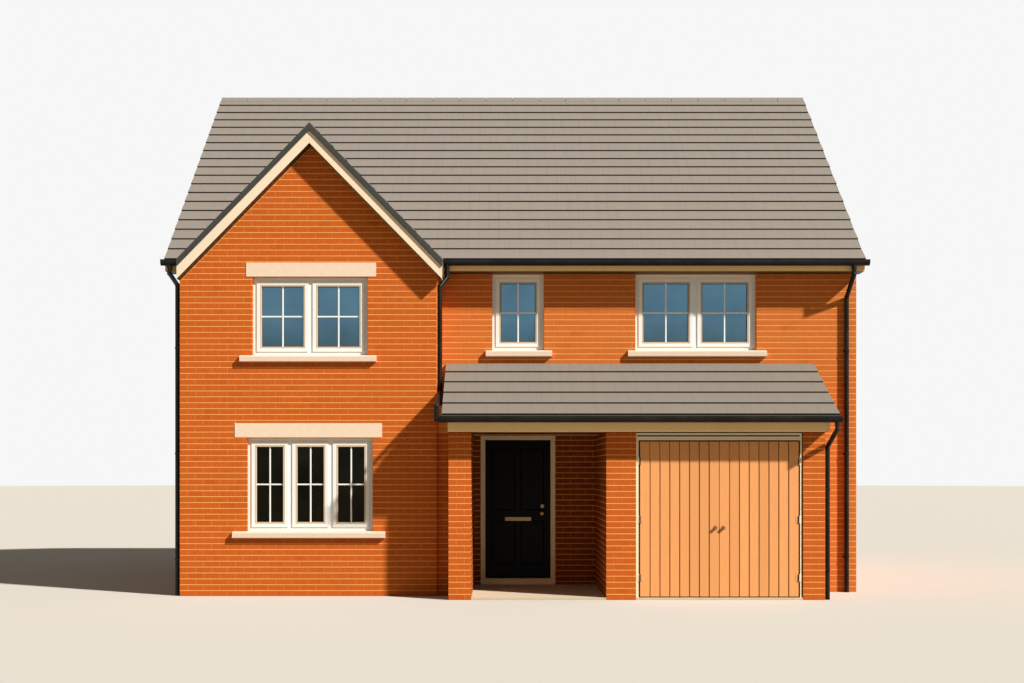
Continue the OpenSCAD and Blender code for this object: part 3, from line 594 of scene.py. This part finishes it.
def front_face(left, right, y, bottom, top, *left_out, out=-1):
    """A face of brickwork that looks to the front, or with out 1 to the rear."""
    return Face(Vector((left, y, 0)), X, Y * out, right - left, bottom, top, *left_out)


def side_face(x, out, front, width, bottom, top, *left_out):
    """A face of brickwork that looks to the side, from its front edge to the rear."""
    return Face(Vector((x, front, 0)), Y, X * out, width, bottom, top, *left_out)


def without(rects, hole):
    """Rectangles as (left, right, bottom, top), with a hole taken out of them."""
    left, right, bottom, top = hole
    kept = []
    for a, b, c, d in rects:
        if b <= left or a >= right or d <= bottom or c >= top:
            kept.append((a, b, c, d))
            continue
        if a < left:
            kept.append((a, left, c, d))
        if b > right:
            kept.append((right, b, c, d))
        middle_l, middle_r = max(a, left), min(b, right)
        if c < bottom:
            kept.append((middle_l, middle_r, c, bottom))
        if d > top:
            kept.append((middle_l, middle_r, top, d))
    return kept


def lay_bricks(bm, face, rng):
    """Lays stretchers in half bond over a face, cut round its holes and under its slopes."""
    s = sizes()
    course = s.brick_height + s.joint
    step = s.brick_length + s.joint
    brick_length = step - s.joint * UPRIGHT_JOINT
    layer = tone_layer(bm)
    made = []
    for row in range(math.ceil(face.top / course)):
        bottom = max(row * course, face.bottom)
        top = min(row * course + s.brick_height, face.top)
        if top - bottom < SMALLEST_CUT:
            continue
        start = -(row % 2) * step / 2
        while start < face.width:
            tone = rng.random()
            end = min(start + brick_length, face.width + s.brick_proud)
            rects = [(max(start, -s.brick_proud), end, bottom, top)]
            start += step
            for hole in face.holes:
                rects = without(rects, hole)
            for a, b, c, d in rects:
                if b - a < SMALLEST_CUT or d - c < SMALLEST_CUT:
                    continue
                places = ((a, c), (b, c), (b, d), (a, d))
                brick = flat_face(bm, [face.origin + face.along * u + Z * z for u, z in places])
                turn_to(brick, face.out)
                brick[layer] = tone
                made.append(brick)
    for point, away in face.cuts:
        geom = geometry_of([f for f in made if f.is_valid])
        cut = bmesh.ops.bisect_plane(bm, geom=geom, plane_co=point, plane_no=away, clear_outer=True)
        made = [g for g in cut["geom"] if isinstance(g, bmesh.types.BMFace) and g.is_valid]
    return [f for f in made if f.is_valid and f.calc_area() > SMALLEST_AREA]


def brickwork(name, faces, seed, finish="brick"):
    """Makes one piece of the bricks on several wall faces."""
    rng = random.Random(seed)
    bm = bmesh.new()
    laid = []
    for face in faces:
        laid += lay_bricks(bm, face, rng)
    kept = {f for f in laid if f.is_valid}
    bmesh.ops.delete(bm, geom=[f for f in bm.faces if f not in kept], context="FACES")
    bmesh.ops.inset_individual(
        bm, faces=[f for f in laid if f.is_valid], thickness=ARRIS, depth=sizes().brick_proud, use_even_offset=True
    )
    return piece(name, bm, finish, slot="brick")


def openings(nodes, left, wall_y):
    """The holes that windows and their stones leave in a wall that starts at left, and the windows' reveals."""
    holes, reveals = [], []
    for node in nodes:
        _, lintel, sill = WINDOWS[node]
        lowest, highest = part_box(node)
        window = (lowest.x, highest.x, lowest.z, highest.z)
        for hole in filter(None, (window, lintel, (*sill, lowest.z - SILL_H, lowest.z))):
            holes.append((hole[0] - left, hole[1] - left, hole[2], hole[3]))
        for x, out in ((lowest.x, 1), (highest.x, -1)):
            reveals.append(side_face(x, out, wall_y, abs(lowest.y - wall_y) + FRAME_BACK, lowest.z, highest.z))
    return holes, reveals


class HOUSE_OT_front_brickwork(bpy.types.Operator):
    """Lay the bricks of the front gable and of the main front wall."""

    bl_idname = "house.front_brickwork"
    bl_label = "Front brickwork"

    def execute(self, context):
        holes, reveals = openings(("lower_left_window", "upper_left_window"), WALL_L, GABLE_Y)
        under = GABLE_RIDGE.z - 0.29
        peak = (GABLE_RIDGE.x, GABLE_Y, under)
        cuts = [(peak, (side * math.sin(GABLE_PITCH), 0, math.cos(GABLE_PITCH))) for side in (-1, 1)]
        gable = front_face(WALL_L, GABLE_R, GABLE_Y, 0, under, holes, cuts)
        brickwork("gable_brickwork", [gable, *reveals], 11)

        holes, reveals = openings(("small_window", "upper_right_window"), GABLE_R, FRONT_Y)
        above = PORCH_TOP.z - 0.02
        below_soffit = ((GABLE_R, FRONT_Y, SOFFIT_Z - 0.02), Z)
        faces = [
            front_face(GABLE_R, WALL_R, FRONT_Y, above, SOFFIT_Z, holes),
            front_face(PIER_R[1], WALL_R, FRONT_Y, 0, above),
            side_face(
                GABLE_R, 1, GABLE_Y, FRONT_Y - GABLE_Y, PORCH_TOP.z - 0.9, SOFFIT_Z, (), (below_soffit,)
            ),
        ]
        # The main front wall's bricks are paler, mixed a little towards the mortar's colour.
        brickwork("front_brickwork", faces + reveals, 12, "paler_brick")
        return {"FINISHED"}


class HOUSE_OT_side_brickwork(bpy.types.Operator):
    """Lay the bricks of the two side walls up to the roof, and of the rear wall round its windows."""

    bl_idname = "house.side_brickwork"
    bl_label = "Side and rear brickwork"

    def execute(self, context):
        under = high("right_side_wall").z - 0.004
        for name, x, out, seed in (("left_brickwork", WALL_L, -1, 21), ("right_brickwork", WALL_R, 1, 22)):
            cuts = [
                ((x, 0, under), (0, side * math.sin(MAIN_PITCH), math.cos(MAIN_PITCH))) for side in (-1, 1)
            ]
            faces = [side_face(x, out, FRONT_Y, REAR_Y - FRONT_Y, 0, under, (), cuts)]
            if out < 0:
                faces.append(side_face(x, out, GABLE_Y, FRONT_Y - GABLE_Y, 0, low("gable_roof").z))
            brickwork(name, faces, seed)

        holes, faces = [], []
        for left, right, bottom, top, _ in REAR_WINDOWS:
            stones = [(left, right, bottom, top)]
            if top < CEILING_Z:
                stones.append((left - REAR_LINTEL_SPREAD, right + REAR_LINTEL_SPREAD, top, top + LINTEL_H))
            stones.append((left - REAR_SILL_SPREAD, right + REAR_SILL_SPREAD, bottom - SILL_H, bottom))
            holes += [(a - WALL_L, b - WALL_L, c, d) for a, b, c, d in stones]
            for x, out in ((left, 1), (right, -1)):
                faces.append(side_face(x, out, REAR_Y - REAR_REVEAL, REAR_REVEAL, bottom, top))
        faces.append(front_face(WALL_L, WALL_R, REAR_Y, 0, SOFFIT_Z, holes, out=1))
        brickwork("rear_brickwork", faces, 23)
        return {"FINISHED"}


class HOUSE_OT_porch_brickwork(bpy.types.Operator):
    """Lay the bricks of the piers, of the porch recess and of the garage's sides."""

    bl_idname = "house.porch_brickwork"
    bl_label = "Porch and garage brickwork"

    def execute(self, context):
        top = CEILING_Z
        corner_y = GABLE_Y + 0.05
        garage_y = PORCH_Y + 0.105
        # How far the bricks go into the garage on its left and on its right
        left_depth, right_depth = 2.34, 1.14
        roof_z = PORCH_TOP.z - 0.13
        rake = ((PIER_R[1], FRONT_Y, roof_z), (0, -math.sin(PORCH_PITCH), math.cos(PORCH_PITCH)))
        faces = [front_face(left, right, PORCH_Y, 0, top) for left, right in (PIER_L, PIER_M, PIER_R)]
        faces += [
            side_face(PIER_L[0], -1, PORCH_Y, corner_y - PORCH_Y, 0, top),
            front_face(GABLE_R, PIER_L[0], corner_y, 0, top),
            side_face(PIER_M[1], 1, garage_y, left_depth, 0, top),
            side_face(PIER_R[0], -1, garage_y, right_depth, 0, top),
            side_face(PIER_R[1], 1, PORCH_Y, FRONT_Y - PORCH_Y, 0, roof_z, (), (rake,)),
        ]
        brickwork("porch_brickwork", faces, 31)

        lowest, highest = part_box("front_door_frame")
        doorway = (lowest.x - PIER_L[1], highest.x - PIER_L[1], 0, top)
        recess = [
            side_face(PIER_L[1], 1, PORCH_Y, DOOR_Y - PORCH_Y, 0, top),
            side_face(PIER_M[0], -1, PORCH_Y, DOOR_Y - PORCH_Y, 0, top),
            front_face(PIER_L[1], PIER_M[0], DOOR_Y, 0, top, (doorway,)),
        ]
        # The recess bricks carry a painted shade.
        brickwork("recess_brickwork", recess, 37, "recess_brick_painted_shade")
        return {"FINISHED"}


# Roofs

RIDGE_COVER = 0.1
TILE_GAP = 0.0012
TILE_HEAD = 0.004
NARROWEST_TILE = 0.02
SMALLEST_TILE = 0.0008
VALLEY_GAP = 0.03


def courses_of(length, gauge):
    """How many courses cover a slope; the rest at the top may be a twentieth of one."""
    return max(1, math.ceil(length / gauge - 0.05))


def lay_tiles(bm, origin, across, down, width, length, gauge, rng):
    """Lays courses of flat tiles in half bond over a slope from its top edge, each with its tone."""
    cover = sizes().tile_cover
    courses = courses_of(length, gauge)
    tone = tone_layer(bm)
    for course in range(courses):
        bottom = length - (courses - 1 - course) * gauge
        top = max(0.0, bottom - gauge)
        start = -(cover / 2) * (course % 2)
        while start < width - TILE_GAP:
            left, right = max(start, 0.0), min(start + cover - TILE_GAP, width)
            start += cover
            if right - left < NARROWEST_TILE:
                continue
            places = ((left, bottom), (right, bottom), (right, top), (left, top))
            tile = flat_face(bm, [origin + across * u + down * v for u, v in places])
            tile[tone] = rng.random()


def clip(bm, faces, point, away):
    """Cuts faces by a plane and throws away what lies on the side that the second vector points to."""
    bmesh.ops.bisect_plane(bm, geom=geometry_of(faces), plane_co=point, plane_no=away, clear_outer=True)


def raise_tiles(bm, origin, down, out, gauge, length):
    """Raises every flat tile into a wedge that is thickest at its lower edge."""
    butt = sizes().tile_butt
    slivers = [f for f in bm.faces if f.calc_area() < SMALLEST_TILE]
    bmesh.ops.delete(bm, geom=slivers, context="FACES")
    for face in bm.faces:
        turn_to(face, out)
    raised = bmesh.ops.extrude_discrete_faces(bm, faces=list(bm.faces))["faces"]
    layer = tone_layer(bm)
    sides = list(set(bm.faces) - set(raised))
    for face in raised:
        place = (face.calc_center_median() - origin).dot(down)
        bottom = length - math.floor((length - place) / gauge) * gauge
        top = bottom - gauge
        for vert in face.verts:
            share = min(1.0, max(0.0, ((vert.co - origin).dot(down) - top) / (bottom - top)))
            vert.co += out * (TILE_HEAD + (butt - TILE_HEAD) * share)
    # The edge faces across the slope take the tone of a painted shade.
    for side in sides:
        side.normal_update()
        if abs(side.normal.dot(down)) > 0.8:
            side[layer] = PAINTED_SHADE_TONE


def valley_plane(side):
    """The plane, as a point and a direction, in which one slope of the gable roof meets the main roof."""
    away = Vector((side * GABLE_TAN / MAIN_TAN, 1, 0))
    return Vector((GABLE_RIDGE.x, -VALLEY_TOP, 0)), away


def cut_valleys(bm):
    """Cuts the main roof's flat tiles along both valleys, each on its own side of the gable's ridge."""
    geom = [*bm.verts, *bm.edges, *bm.faces]
    cut = bmesh.ops.bisect_plane(bm, geom=geom, plane_co=(GABLE_RIDGE.x, 0, 0), plane_no=X)["geom_cut"]
    bmesh.ops.split_edges(bm, edges=[e for e in cut if isinstance(e, bmesh.types.BMEdge)])
    reach = GABLE_HALF + 0.01 + sizes().tile_cover
    for side in (-1, 1):
        point, away = valley_plane(side)
        part = [f for f in bm.faces if 0 < side * (f.calc_center_median().x - GABLE_RIDGE.x) < reach]
        clip(bm, part, point + away.normalized() * VALLEY_GAP, -away)


class HOUSE_OT_main_tiles(bpy.types.Operator):
    """Tile both slopes of the main roof, cut to the gable roof's valleys."""

    bl_idname = "house.main_tiles"
    bl_label = "Main roof tiles"

    def execute(self, context):
        gauge = sizes().tile_gauge
        for name, side, seed in (("main_tiles_front", -1, 41), ("main_tiles_rear", 1, 42)):
            down = Vector((0, side * math.cos(MAIN_PITCH), -math.sin(MAIN_PITCH)))
            out = Vector((0, side * math.sin(MAIN_PITCH), math.cos(MAIN_PITCH)))
            origin = Vector((VERGE_L, 0, RIDGE_Z)) + down * RIDGE_COVER
            slope = abs(EAVE_Y) / math.cos(MAIN_PITCH) - RIDGE_COVER
            bm = bmesh.new()
            lay_tiles(bm, origin, X, down, VERGE_R - VERGE_L, slope, gauge, random.Random(seed))
            if side < 0:
                cut_valleys(bm)
            raise_tiles(bm, origin, down, out, gauge, slope)
            piece(name, bm, "roof_tile", slot="roof_tile")
        return {"FINISHED"}


class HOUSE_OT_gable_tiles(bpy.types.Operator):
    """Tile the two slopes of the gable roof from its verge to the valleys."""

    bl_idname = "house.gable_tiles"
    bl_label = "Gable roof tiles"

    def execute(self, context):
        gauge = sizes().tile_gauge
        start = GABLE_FRONT + 0.08
        for name, side, seed in (("gable_tiles_left", -1, 51), ("gable_tiles_right", 1, 52)):
            down = Vector((side * math.cos(GABLE_PITCH), 0, -math.sin(GABLE_PITCH)))
            out = Vector((side * math.sin(GABLE_PITCH), 0, math.cos(GABLE_PITCH)))
            origin = Vector((GABLE_RIDGE.x, start, GABLE_RIDGE.z)) + down * RIDGE_COVER
            slope = GABLE_HALF / math.cos(GABLE_PITCH) - RIDGE_COVER
            bm = bmesh.new()
            lay_tiles(bm, origin, Y, down, -VALLEY_TOP - start, slope, gauge, random.Random(seed))
            point, away = valley_plane(side)
            clip(bm, list(bm.faces), point - away.normalized() * VALLEY_GAP, away)
            raise_tiles(bm, origin, down, out, gauge, slope)
            piece(name, bm, "roof_tile", slot="roof_tile")
        return {"FINISHED"}


class HOUSE_OT_porch_tiles(bpy.types.Operator):
    """Tile the lean-to roof."""

    bl_idname = "house.porch_tiles"
    bl_label = "Lean-to roof tiles"

    def execute(self, context):
        gauge = sizes().porch_gauge
        head = 0.012
        down = Vector((0, -math.cos(PORCH_PITCH), -math.sin(PORCH_PITCH)))
        out = Vector((0, -math.sin(PORCH_PITCH), math.cos(PORCH_PITCH)))
        origin = PORCH_TOP + down * head
        slope = (PORCH_TOP.y - PORCH_EAVE) / math.cos(PORCH_PITCH) - head
        width = high("porch_roof").x - low("porch_roof").x
        bm = bmesh.new()
        lay_tiles(bm, origin, X, down, width, slope, gauge, random.Random(61))
        raise_tiles(bm, origin, down, out, gauge, slope)
        piece("porch_tiles", bm, "porch_tile", slot="roof_tile")
        return {"FINISHED"}


class HOUSE_OT_ridge_tiles(bpy.types.Operator):
    """Lay angled ridge tiles, end to end in mortar, over the main ridge and the gable's ridge."""

    bl_idname = "house.ridge_tiles"
    bl_label = "Ridge tiles"

    def execute(self, context):
        bm = bmesh.new()
        rng = random.Random(71)
        unit, joint, reach, cap = 0.45, 0.008, 0.118, 0.025
        layer = tone_layer(bm)
        gable_top = Vector((GABLE_RIDGE.x, GABLE_FRONT, GABLE_RIDGE.z))
        for start, along, ridge, tangent, across in (
            (Vector((VERGE_L + 0.002, 0, RIDGE_Z)), X, VERGE_R - VERGE_L - 0.004, MAIN_TAN, Y),
            (gable_top, Y, -VALLEY_TOP - GABLE_FRONT, GABLE_TAN, X),
        ):
            count = round(ridge / unit)
            step = ridge / count
            for i in range(count):
                tone = rng.random()
                origin = start + along * (i * step + joint / 2)
                section = ((-reach, 0), (0, 0), (reach, 0), (reach, cap), (0, cap), (-reach, cap))
                end = flat_face(bm, [origin + across * u + Z * (v - tangent * abs(u)) for u, v in section])
                corners = list(end.verts)
                corners += extruded(bm, end, along * (step - joint))
                for f in {f for v in corners for f in v.link_faces}:
                    f[layer] = tone
        made = closed_piece("ridge_tiles", bm, "roof_tile", HOUSE, "roof_tile")
        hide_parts("ridge_caps")
        return {"FINISHED"}


# Section of the drip bead: forwards and down from its upper edge on the board
DRIP_SECTION = (
    (0.0, 0.0), (-0.026, 0.0), (-0.026, -0.006), (-0.024, -0.015), (-0.021, -0.018), (-0.010, -0.018), (0.0, -0.012)
)


class HOUSE_OT_verge_drip(bpy.types.Operator):
    """Run a drip bead along the lower edge of the gable's verge caps, mitred at the ridge."""

    bl_idname = "house.verge_drip"
    bl_label = "Verge drip"

    def execute(self, context):
        bm = bmesh.new()
        face_y = low("verge_strips").y + 0.012
        peak_z = GABLE_RIDGE.z - 0.084
        for side in (-1, 1):
            start = Vector((GABLE_RIDGE.x + side * 0.0005, face_y, peak_z))
            end = flat_face(bm, [start + Y * y + Z * z for y, z in DRIP_SECTION])
            extruded(bm, end, Vector((side, 0, -GABLE_TAN)) * (GABLE_HALF - 0.001))
        closed_piece("verge_drip", bm, "verge", HOUSE, "verge_plastic")
        return {"FINISHED"}


# Windows and doors

BAR_PROUD = 0.012
GASKET_W, GASKET_PROUD = 0.008, 0.007
BEAD_W, BEAD_BACK, BEAD_FRONT = 0.022, 0.028, 0.032


def panes(left, right, bottom, top, count):
    """The glass of each casement in a window, as (left, right, bottom, top)."""
    span = (right - left - 2 * FRAME_W - (count - 1) * MULLION_W) / count
    edge = FRAME_W + SASH_W
    for i in range(count):
        start = left + FRAME_W + i * (span + MULLION_W)
        yield start + SASH_W, start + span - SASH_W, bottom + edge, top - edge


def ring(bm, left, right, bottom, top, width, depth, bevel):
    """Adds a thin ring of four strips round the inside of a rectangle: the gasket or bead round a pane."""
    front, back = sorted(depth)
    for x0, x1, z0, z1 in (
        (left, right, bottom, bottom + width),
        (left, right, top - width, top),
        (left, left + width, bottom + width, top - width),
        (right - width, right, bottom + width, top - width),
    ):
        block(bm, (x0, front, z0), (x1, back, z1), bevel)


def glazed(bars, gaskets, beads, window, glass_y, out):
    """Adds the bars that divide each pane into four, the black gasket round it and the bead on the sash."""
    half = sizes().bar_width / 2
    front, back = sorted((glass_y + out * BAR_PROUD, glass_y))
    for a, b, c, d in panes(*window):
        middle, centre = (a + b) / 2, (c + d) / 2
        for x0, x1, z0, z1 in (
            (middle - half, middle + half, c, d),
            (a, middle - half, centre - half, centre + half),
            (middle + half, b, centre - half, centre + half),
        ):
            block(bars, (x0, front, z0), (x1, back, z1), 0.004, 2)
        ring(gaskets, a, b, c, d, GASKET_W, (glass_y + out * GASKET_PROUD, glass_y), 0.0015)
        # The beads carry a tan painted shade.
        ring(
            beads, a - BEAD_W, b + BEAD_W, c - BEAD_W, d + BEAD_W, BEAD_W,
            (glass_y + out * BEAD_FRONT, glass_y + out * BEAD_BACK), 0.0025,
        )


class HOUSE_OT_window_bars(bpy.types.Operator):
    """Set the glazing bars, the gaskets and the beads in every window."""

    bl_idname = "house.window_bars"
    bl_label = "Window bars"

    def execute(self, context):
        bars, gaskets, beads = bmesh.new(), bmesh.new(), bmesh.new()
        for node, (count, _, _) in WINDOWS.items():
            lowest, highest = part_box(node)
            window = (lowest.x, highest.x, lowest.z, highest.z, count)
            glazed(bars, gaskets, beads, window, lowest.y + FRAME_BACK + GLASS_BACK, -1)
        for window in REAR_WINDOWS:
            glazed(bars, gaskets, beads, window, high("rear_glass").y, 1)
        for name, bm, material in (
            ("window_bars", bars, "white"), ("window_gaskets", gaskets, "gasket"), ("window_beads", beads, "bead"),
        ):
            piece(name, bm, material, slot="window_plastic")
        return {"FINISHED"}


# Steps of a panel moulding: how far each goes inwards and outwards, as shares of its width and height
MOULDING_PROFILE = ((0.2, 0.75), (0.3, 0.25), (0.3, -0.4), (0.2, -0.6))
MOULDING_W, MOULDING_PROUD = 0.016, 0.007
DOOR_COLUMNS = ((-0.451, -0.121), (-0.011, 0.319))
DOOR_ROWS = ((0.350, 0.980), (1.180, 2.090))
# Middles of the knob and the lock, along and up
KNOB = (0.309, 1.224)
LOCK = (0.303, 1.11)


def moulding(bm, left, right, bottom, top, y):
    """Adds a raised bead round a panel on a front face: a face inset in steps, then cut out of its middle."""
    left, right, bottom, top = left - MOULDING_W, right + MOULDING_W, bottom - MOULDING_W, top + MOULDING_W
    face = flat_face(bm, [(x, y, z) for x, z in ((left, bottom), (right, bottom), (right, top), (left, top))])
    face.normal_update()
    for share, rise in MOULDING_PROFILE:
        bmesh.ops.inset_region(
            bm, faces=[face], thickness=share * MOULDING_W, depth=rise * MOULDING_PROUD,
            use_boundary=True, use_even_offset=True,
        )
    bmesh.ops.delete(bm, geom=[face], context="FACES_ONLY")


class HOUSE_OT_front_door_detail(bpy.types.Operator):
    """Dress the front door: panel mouldings, weather bar, and roses behind the knob and the lock."""

    bl_idname = "house.front_door_detail"
    bl_label = "Front door detail"

    def execute(self, context):
        lowest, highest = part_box("front_door")
        face = lowest.y
        bm = bmesh.new()
        for left, right in DOOR_COLUMNS:
            for bottom, top in DOOR_ROWS:
                moulding(bm, left, right, bottom, top, face)
        bar = lowest.z + 0.012
        block(bm, (lowest.x + 0.02, face - 0.03, bar), (highest.x - 0.02, face, bar + 0.04), 0.012, 3)
        closed_piece("door_mouldings", bm, "black_paint", FRONT_DOOR, "black_door")
        bm = bmesh.new()
        rose(bm, KNOB[0], face, KNOB[1], 0.029, 0.005, 0.002, 48)
        rose(bm, LOCK[0], face, LOCK[1], 0.024, 0.004, 0.0015, 48)
        closed_piece("door_roses", bm, "brass", FRONT_DOOR, "door_brass")
        return {"FINISHED"}


class HOUSE_OT_garage_fittings(bpy.types.Operator):
    """Put a rose behind the knob of each garage leaf, and near-black strips of painted shade in the gaps of the
    frame.
    """

    bl_idname = "house.garage_fittings"
    bl_label = "Garage door fittings"

    def execute(self, context):
        for name, body, side in (("garage_rose_left", LEFT_LEAF, -1), ("garage_rose_right", RIGHT_LEAF, 1)):
            bm = bmesh.new()
            rose(bm, GARAGE_MIDDLE + side * 0.055, GARAGE_FACE, 0.985, 0.026, 0.004, 0.002, 40)
            closed_piece(name, bm, "bronze", body, "door_brass")
        bm = bmesh.new()
        face, thick, foot = PORCH_Y + 0.013, 0.004, 0.032
        left, right = PIER_M[1], PIER_R[0]
        head = high("garage_door_left").z
        outer, top_gap, cover, gap, head_gap = 0.013, 0.011, 0.004, 0.012, 0.018
        rail_bottom, rail_top = 2.240, 2.257
        # Strips of painted shade at the right pier, under the ceiling, in the head, beside both leaves and above
        # them
        for x0, z0, x1, z1 in (
            (right - outer, foot, right, CEILING_Z),
            (left, CEILING_Z - top_gap, right - outer, CEILING_Z),
            (left + 0.020, rail_bottom, right - 0.045, rail_top),
            (GARAGE_L - gap, foot, GARAGE_L + cover, head + head_gap),
            (GARAGE_R - cover, foot, GARAGE_R + gap, head + head_gap),
            (GARAGE_L + cover, head + cover, GARAGE_R - cover, head + head_gap),
        ):
            block(bm, (x0, face, z0), (x1, face + thick, z1), 0.0015)
        closed_piece("garage_gap_shade_strips", bm, "gap_painted_shade", HOUSE, "door_frame_wood")
        return {"FINISHED"}


# Rainwater goods

GUTTER_W = 0.112
STRAP_W, STRAP_THICK = 0.026, 0.004
BRACKET_SPACING, BRACKET_END = 0.9, 0.09


def gutter_bracket(bm, x, centre_y, rim, outward):
    """Adds one bracket: a strap spun round the outside of the trough from the board to the rim."""
    centre = Vector((x, centre_y, rim))
    start = centre - Y * outward * (GUTTER_W / 2 + 0.001)
    half, thin = STRAP_W / 2, STRAP_THICK / 2
    corners = ((-half, -thin, 0), (half, -thin, 0), (half, thin, 0), (-half, thin, 0))
    strap = flat_face(bm, [start + Vector(c) for c in corners])
    bmesh.ops.spin(
        bm, geom=[strap, *strap.edges, *strap.verts], cent=centre, axis=X, angle=outward * math.pi, steps=8
    )


class HOUSE_OT_rainwater(bpy.types.Operator):
    """Hang the gutters on brackets."""

    bl_idname = "house.rainwater"
    bl_label = "Rainwater goods"

    def execute(self, context):
        bm = bmesh.new()
        for node, outward in (("main_gutter", -1), ("left_gutter", -1), ("porch_gutter", -1), ("rear_gutter", 1)):
            lowest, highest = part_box(node)
            middle = lowest.y + GUTTER_W / 2 if outward < 0 else highest.y - GUTTER_W / 2
            span = highest.x - lowest.x - 2 * BRACKET_END
            count = max(1, round(span / BRACKET_SPACING))
            for i in range(count + 1):
                gutter_bracket(bm, lowest.x + BRACKET_END + span * i / count, middle, highest.z, outward)
        closed_piece("gutter_brackets", bm, "rain_black", HOUSE, "black_plastic")
        return {"FINISHED"}


# Finishes of the nodes, and the stage

# The finish of each material of the record, and of the nodes that differ from it
NODE_FINISHES = {
    "brick": "mortar",
    "concrete": "concrete",
    "plaster": "plaster",
    "roof_tile": "underlay",
    "verge_plastic": "verge",
    "cream_boards": "cream",
    "black_plastic": "rain_black",
    "cast_stone": "stone",
    "window_plastic": "white",
    "window_glass": "window_glass",
    "door_frame_wood": "door_cream_painted_light",
    "black_door": "black_paint",
    "door_brass": "brass",
    "garage_boards": "garage_boards",
}
OWN_FINISHES = {
    "garage_door_frame": "garage_frame",
    "main_eaves": "fascia",
    "porch_eaves": "fascia",
    "window_sills": "sill_stone",
}


class HOUSE_OT_node_finishes(bpy.types.Operator):
    """Give every solid of the frame its procedural finish."""

    bl_idname = "house.node_finishes"
    bl_label = "Finishes of the solids"

    def execute(self, context):
        for name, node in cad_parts.items():
            for place in node.material_slots:
                base = place.material.name.split(".")[0] if place.material else ""
                if base in NODE_FINISHES:
                    place.material = finish_of(OWN_FINISHES.get(name, NODE_FINISHES[base]))
        return {"FINISHED"}


def seen_directly(graph):
    """A factor that is 1 for the camera, in gloss and through glass, and 0 for light that bounces."""
    path = graph.add("LightPath", "Is Camera Ray").node.outputs
    seen = graph.math("MAXIMUM", path["Is Camera Ray"], path["Is Glossy Ray"])
    return graph.math("MAXIMUM", seen, path["Is Transmission Ray"])


def floor_material():
    """A plain pale floor that throws little light back up at the house."""
    finish = Finish("studio_floor", 0.95, 0.1)
    grain = finish.ramp(finish.noise(40, 3), 0.3, 0.7)
    pale = finish.mix(grain, (0.595, 0.585, 0.570), (0.615, 0.605, 0.590))
    finish.set("Base Color", finish.mix(seen_directly(finish), (0.37, 0.32, 0.24), pale))
    return finish.material


# The floor's radius, the ways to the sun and to the eye, and the sky for what bounces and for what is seen
FLOOR_RADIUS = 140
SUN_WAY = Vector((1.55, -1.0, 1.40))
EYE = (-0.34, -23.69, 1.78)
BOUNCED_SKY = (0.146, 0.135, 0.102)
SEEN_SKY = (0.93, 0.93, 0.93)


class HOUSE_OT_stage(bpy.types.Operator):
    """Build the pale floor, the soft studio light and the camera at the photograph's view."""

    bl_idname = "house.stage"
    bl_label = "Stage, lights and camera"

    def execute(self, context):
        scene = context.scene
        mesh = bpy.data.meshes.new("studio_floor")
        bm = bmesh.new()
        bmesh.ops.create_circle(bm, cap_ends=True, segments=96, radius=FLOOR_RADIUS)
        bm.to_mesh(mesh)
        bm.free()
        floor = bpy.data.objects.new("studio_floor", mesh)
        floor.location.z = -0.002
        scene.collection.objects.link(floor)
        mesh.materials.append(floor_material())

        world = bpy.data.worlds.new("studio")
        world.use_nodes = True
        graph = Graph(world.node_tree)
        sky = graph.mix(seen_directly(graph), BOUNCED_SKY, SEEN_SKY)
        graph.fill(world.node_tree.nodes["Background"].inputs["Color"], sky)
        scene.world = world
        scene.view_settings.view_transform = "Standard"

        sun = bpy.data.lights.new("sun", "SUN")
        sun.energy = 6.2
        sun.angle = math.radians(2.5)
        sun.color = (1.0, 0.93, 0.82)
        lamp = bpy.data.objects.new("sun", sun)
        lamp.rotation_euler = SUN_WAY.to_track_quat("Z", "Y").to_euler()
        scene.collection.objects.link(lamp)

        camera = bpy.data.cameras.new("camera")
        camera.lens = 48.09
        camera.sensor_width = 36
        camera.shift_x = 0.0117
        camera.shift_y = 0.1255
        camera.clip_end = 500
        eye = bpy.data.objects.new("camera", camera)
        eye.location = EYE
        eye.rotation_euler = (math.pi / 2, 0, 0)
        scene.collection.objects.link(eye)
        scene.camera = eye
        return {"FINISHED"}


class HOUSE_PT_panel(bpy.types.Panel):
    """Panel with the sizes, the colours and a button for each group of pieces."""

    bl_idname = "HOUSE_PT_panel"
    bl_label = "House"
    bl_space_type = "VIEW_3D"
    bl_region_type = "UI"
    bl_category = "House"

    def draw(self, context):
        for name in HouseSizes.__annotations__:
            self.layout.prop(context.scene.house_sizes, name)
        for operator in OPERATORS:
            self.layout.operator(operator.bl_idname)


OPERATORS = (
    HOUSE_OT_stage,
    HOUSE_OT_node_finishes,
    HOUSE_OT_front_brickwork,
    HOUSE_OT_side_brickwork,
    HOUSE_OT_porch_brickwork,
    HOUSE_OT_main_tiles,
    HOUSE_OT_gable_tiles,
    HOUSE_OT_porch_tiles,
    HOUSE_OT_ridge_tiles,
    HOUSE_OT_verge_drip,
    HOUSE_OT_window_bars,
    HOUSE_OT_front_door_detail,
    HOUSE_OT_garage_fittings,
    HOUSE_OT_rainwater,
)
CLASSES = (HouseSizes, *OPERATORS, HOUSE_PT_panel)


def register():
    for cls in CLASSES:
        bpy.utils.register_class(cls)
    bpy.types.Scene.house_sizes = bpy.props.PointerProperty(type=HouseSizes)


def unregister():
    del bpy.types.Scene.house_sizes
    for cls in reversed(CLASSES):
        bpy.utils.unregister_class(cls)


def main():
    """Builds every piece."""
    register()
    for operator in OPERATORS:
        group, name = operator.bl_idname.split(".")
        getattr(getattr(bpy.ops, group), name)()


if __name__ == "__main__":
    main()
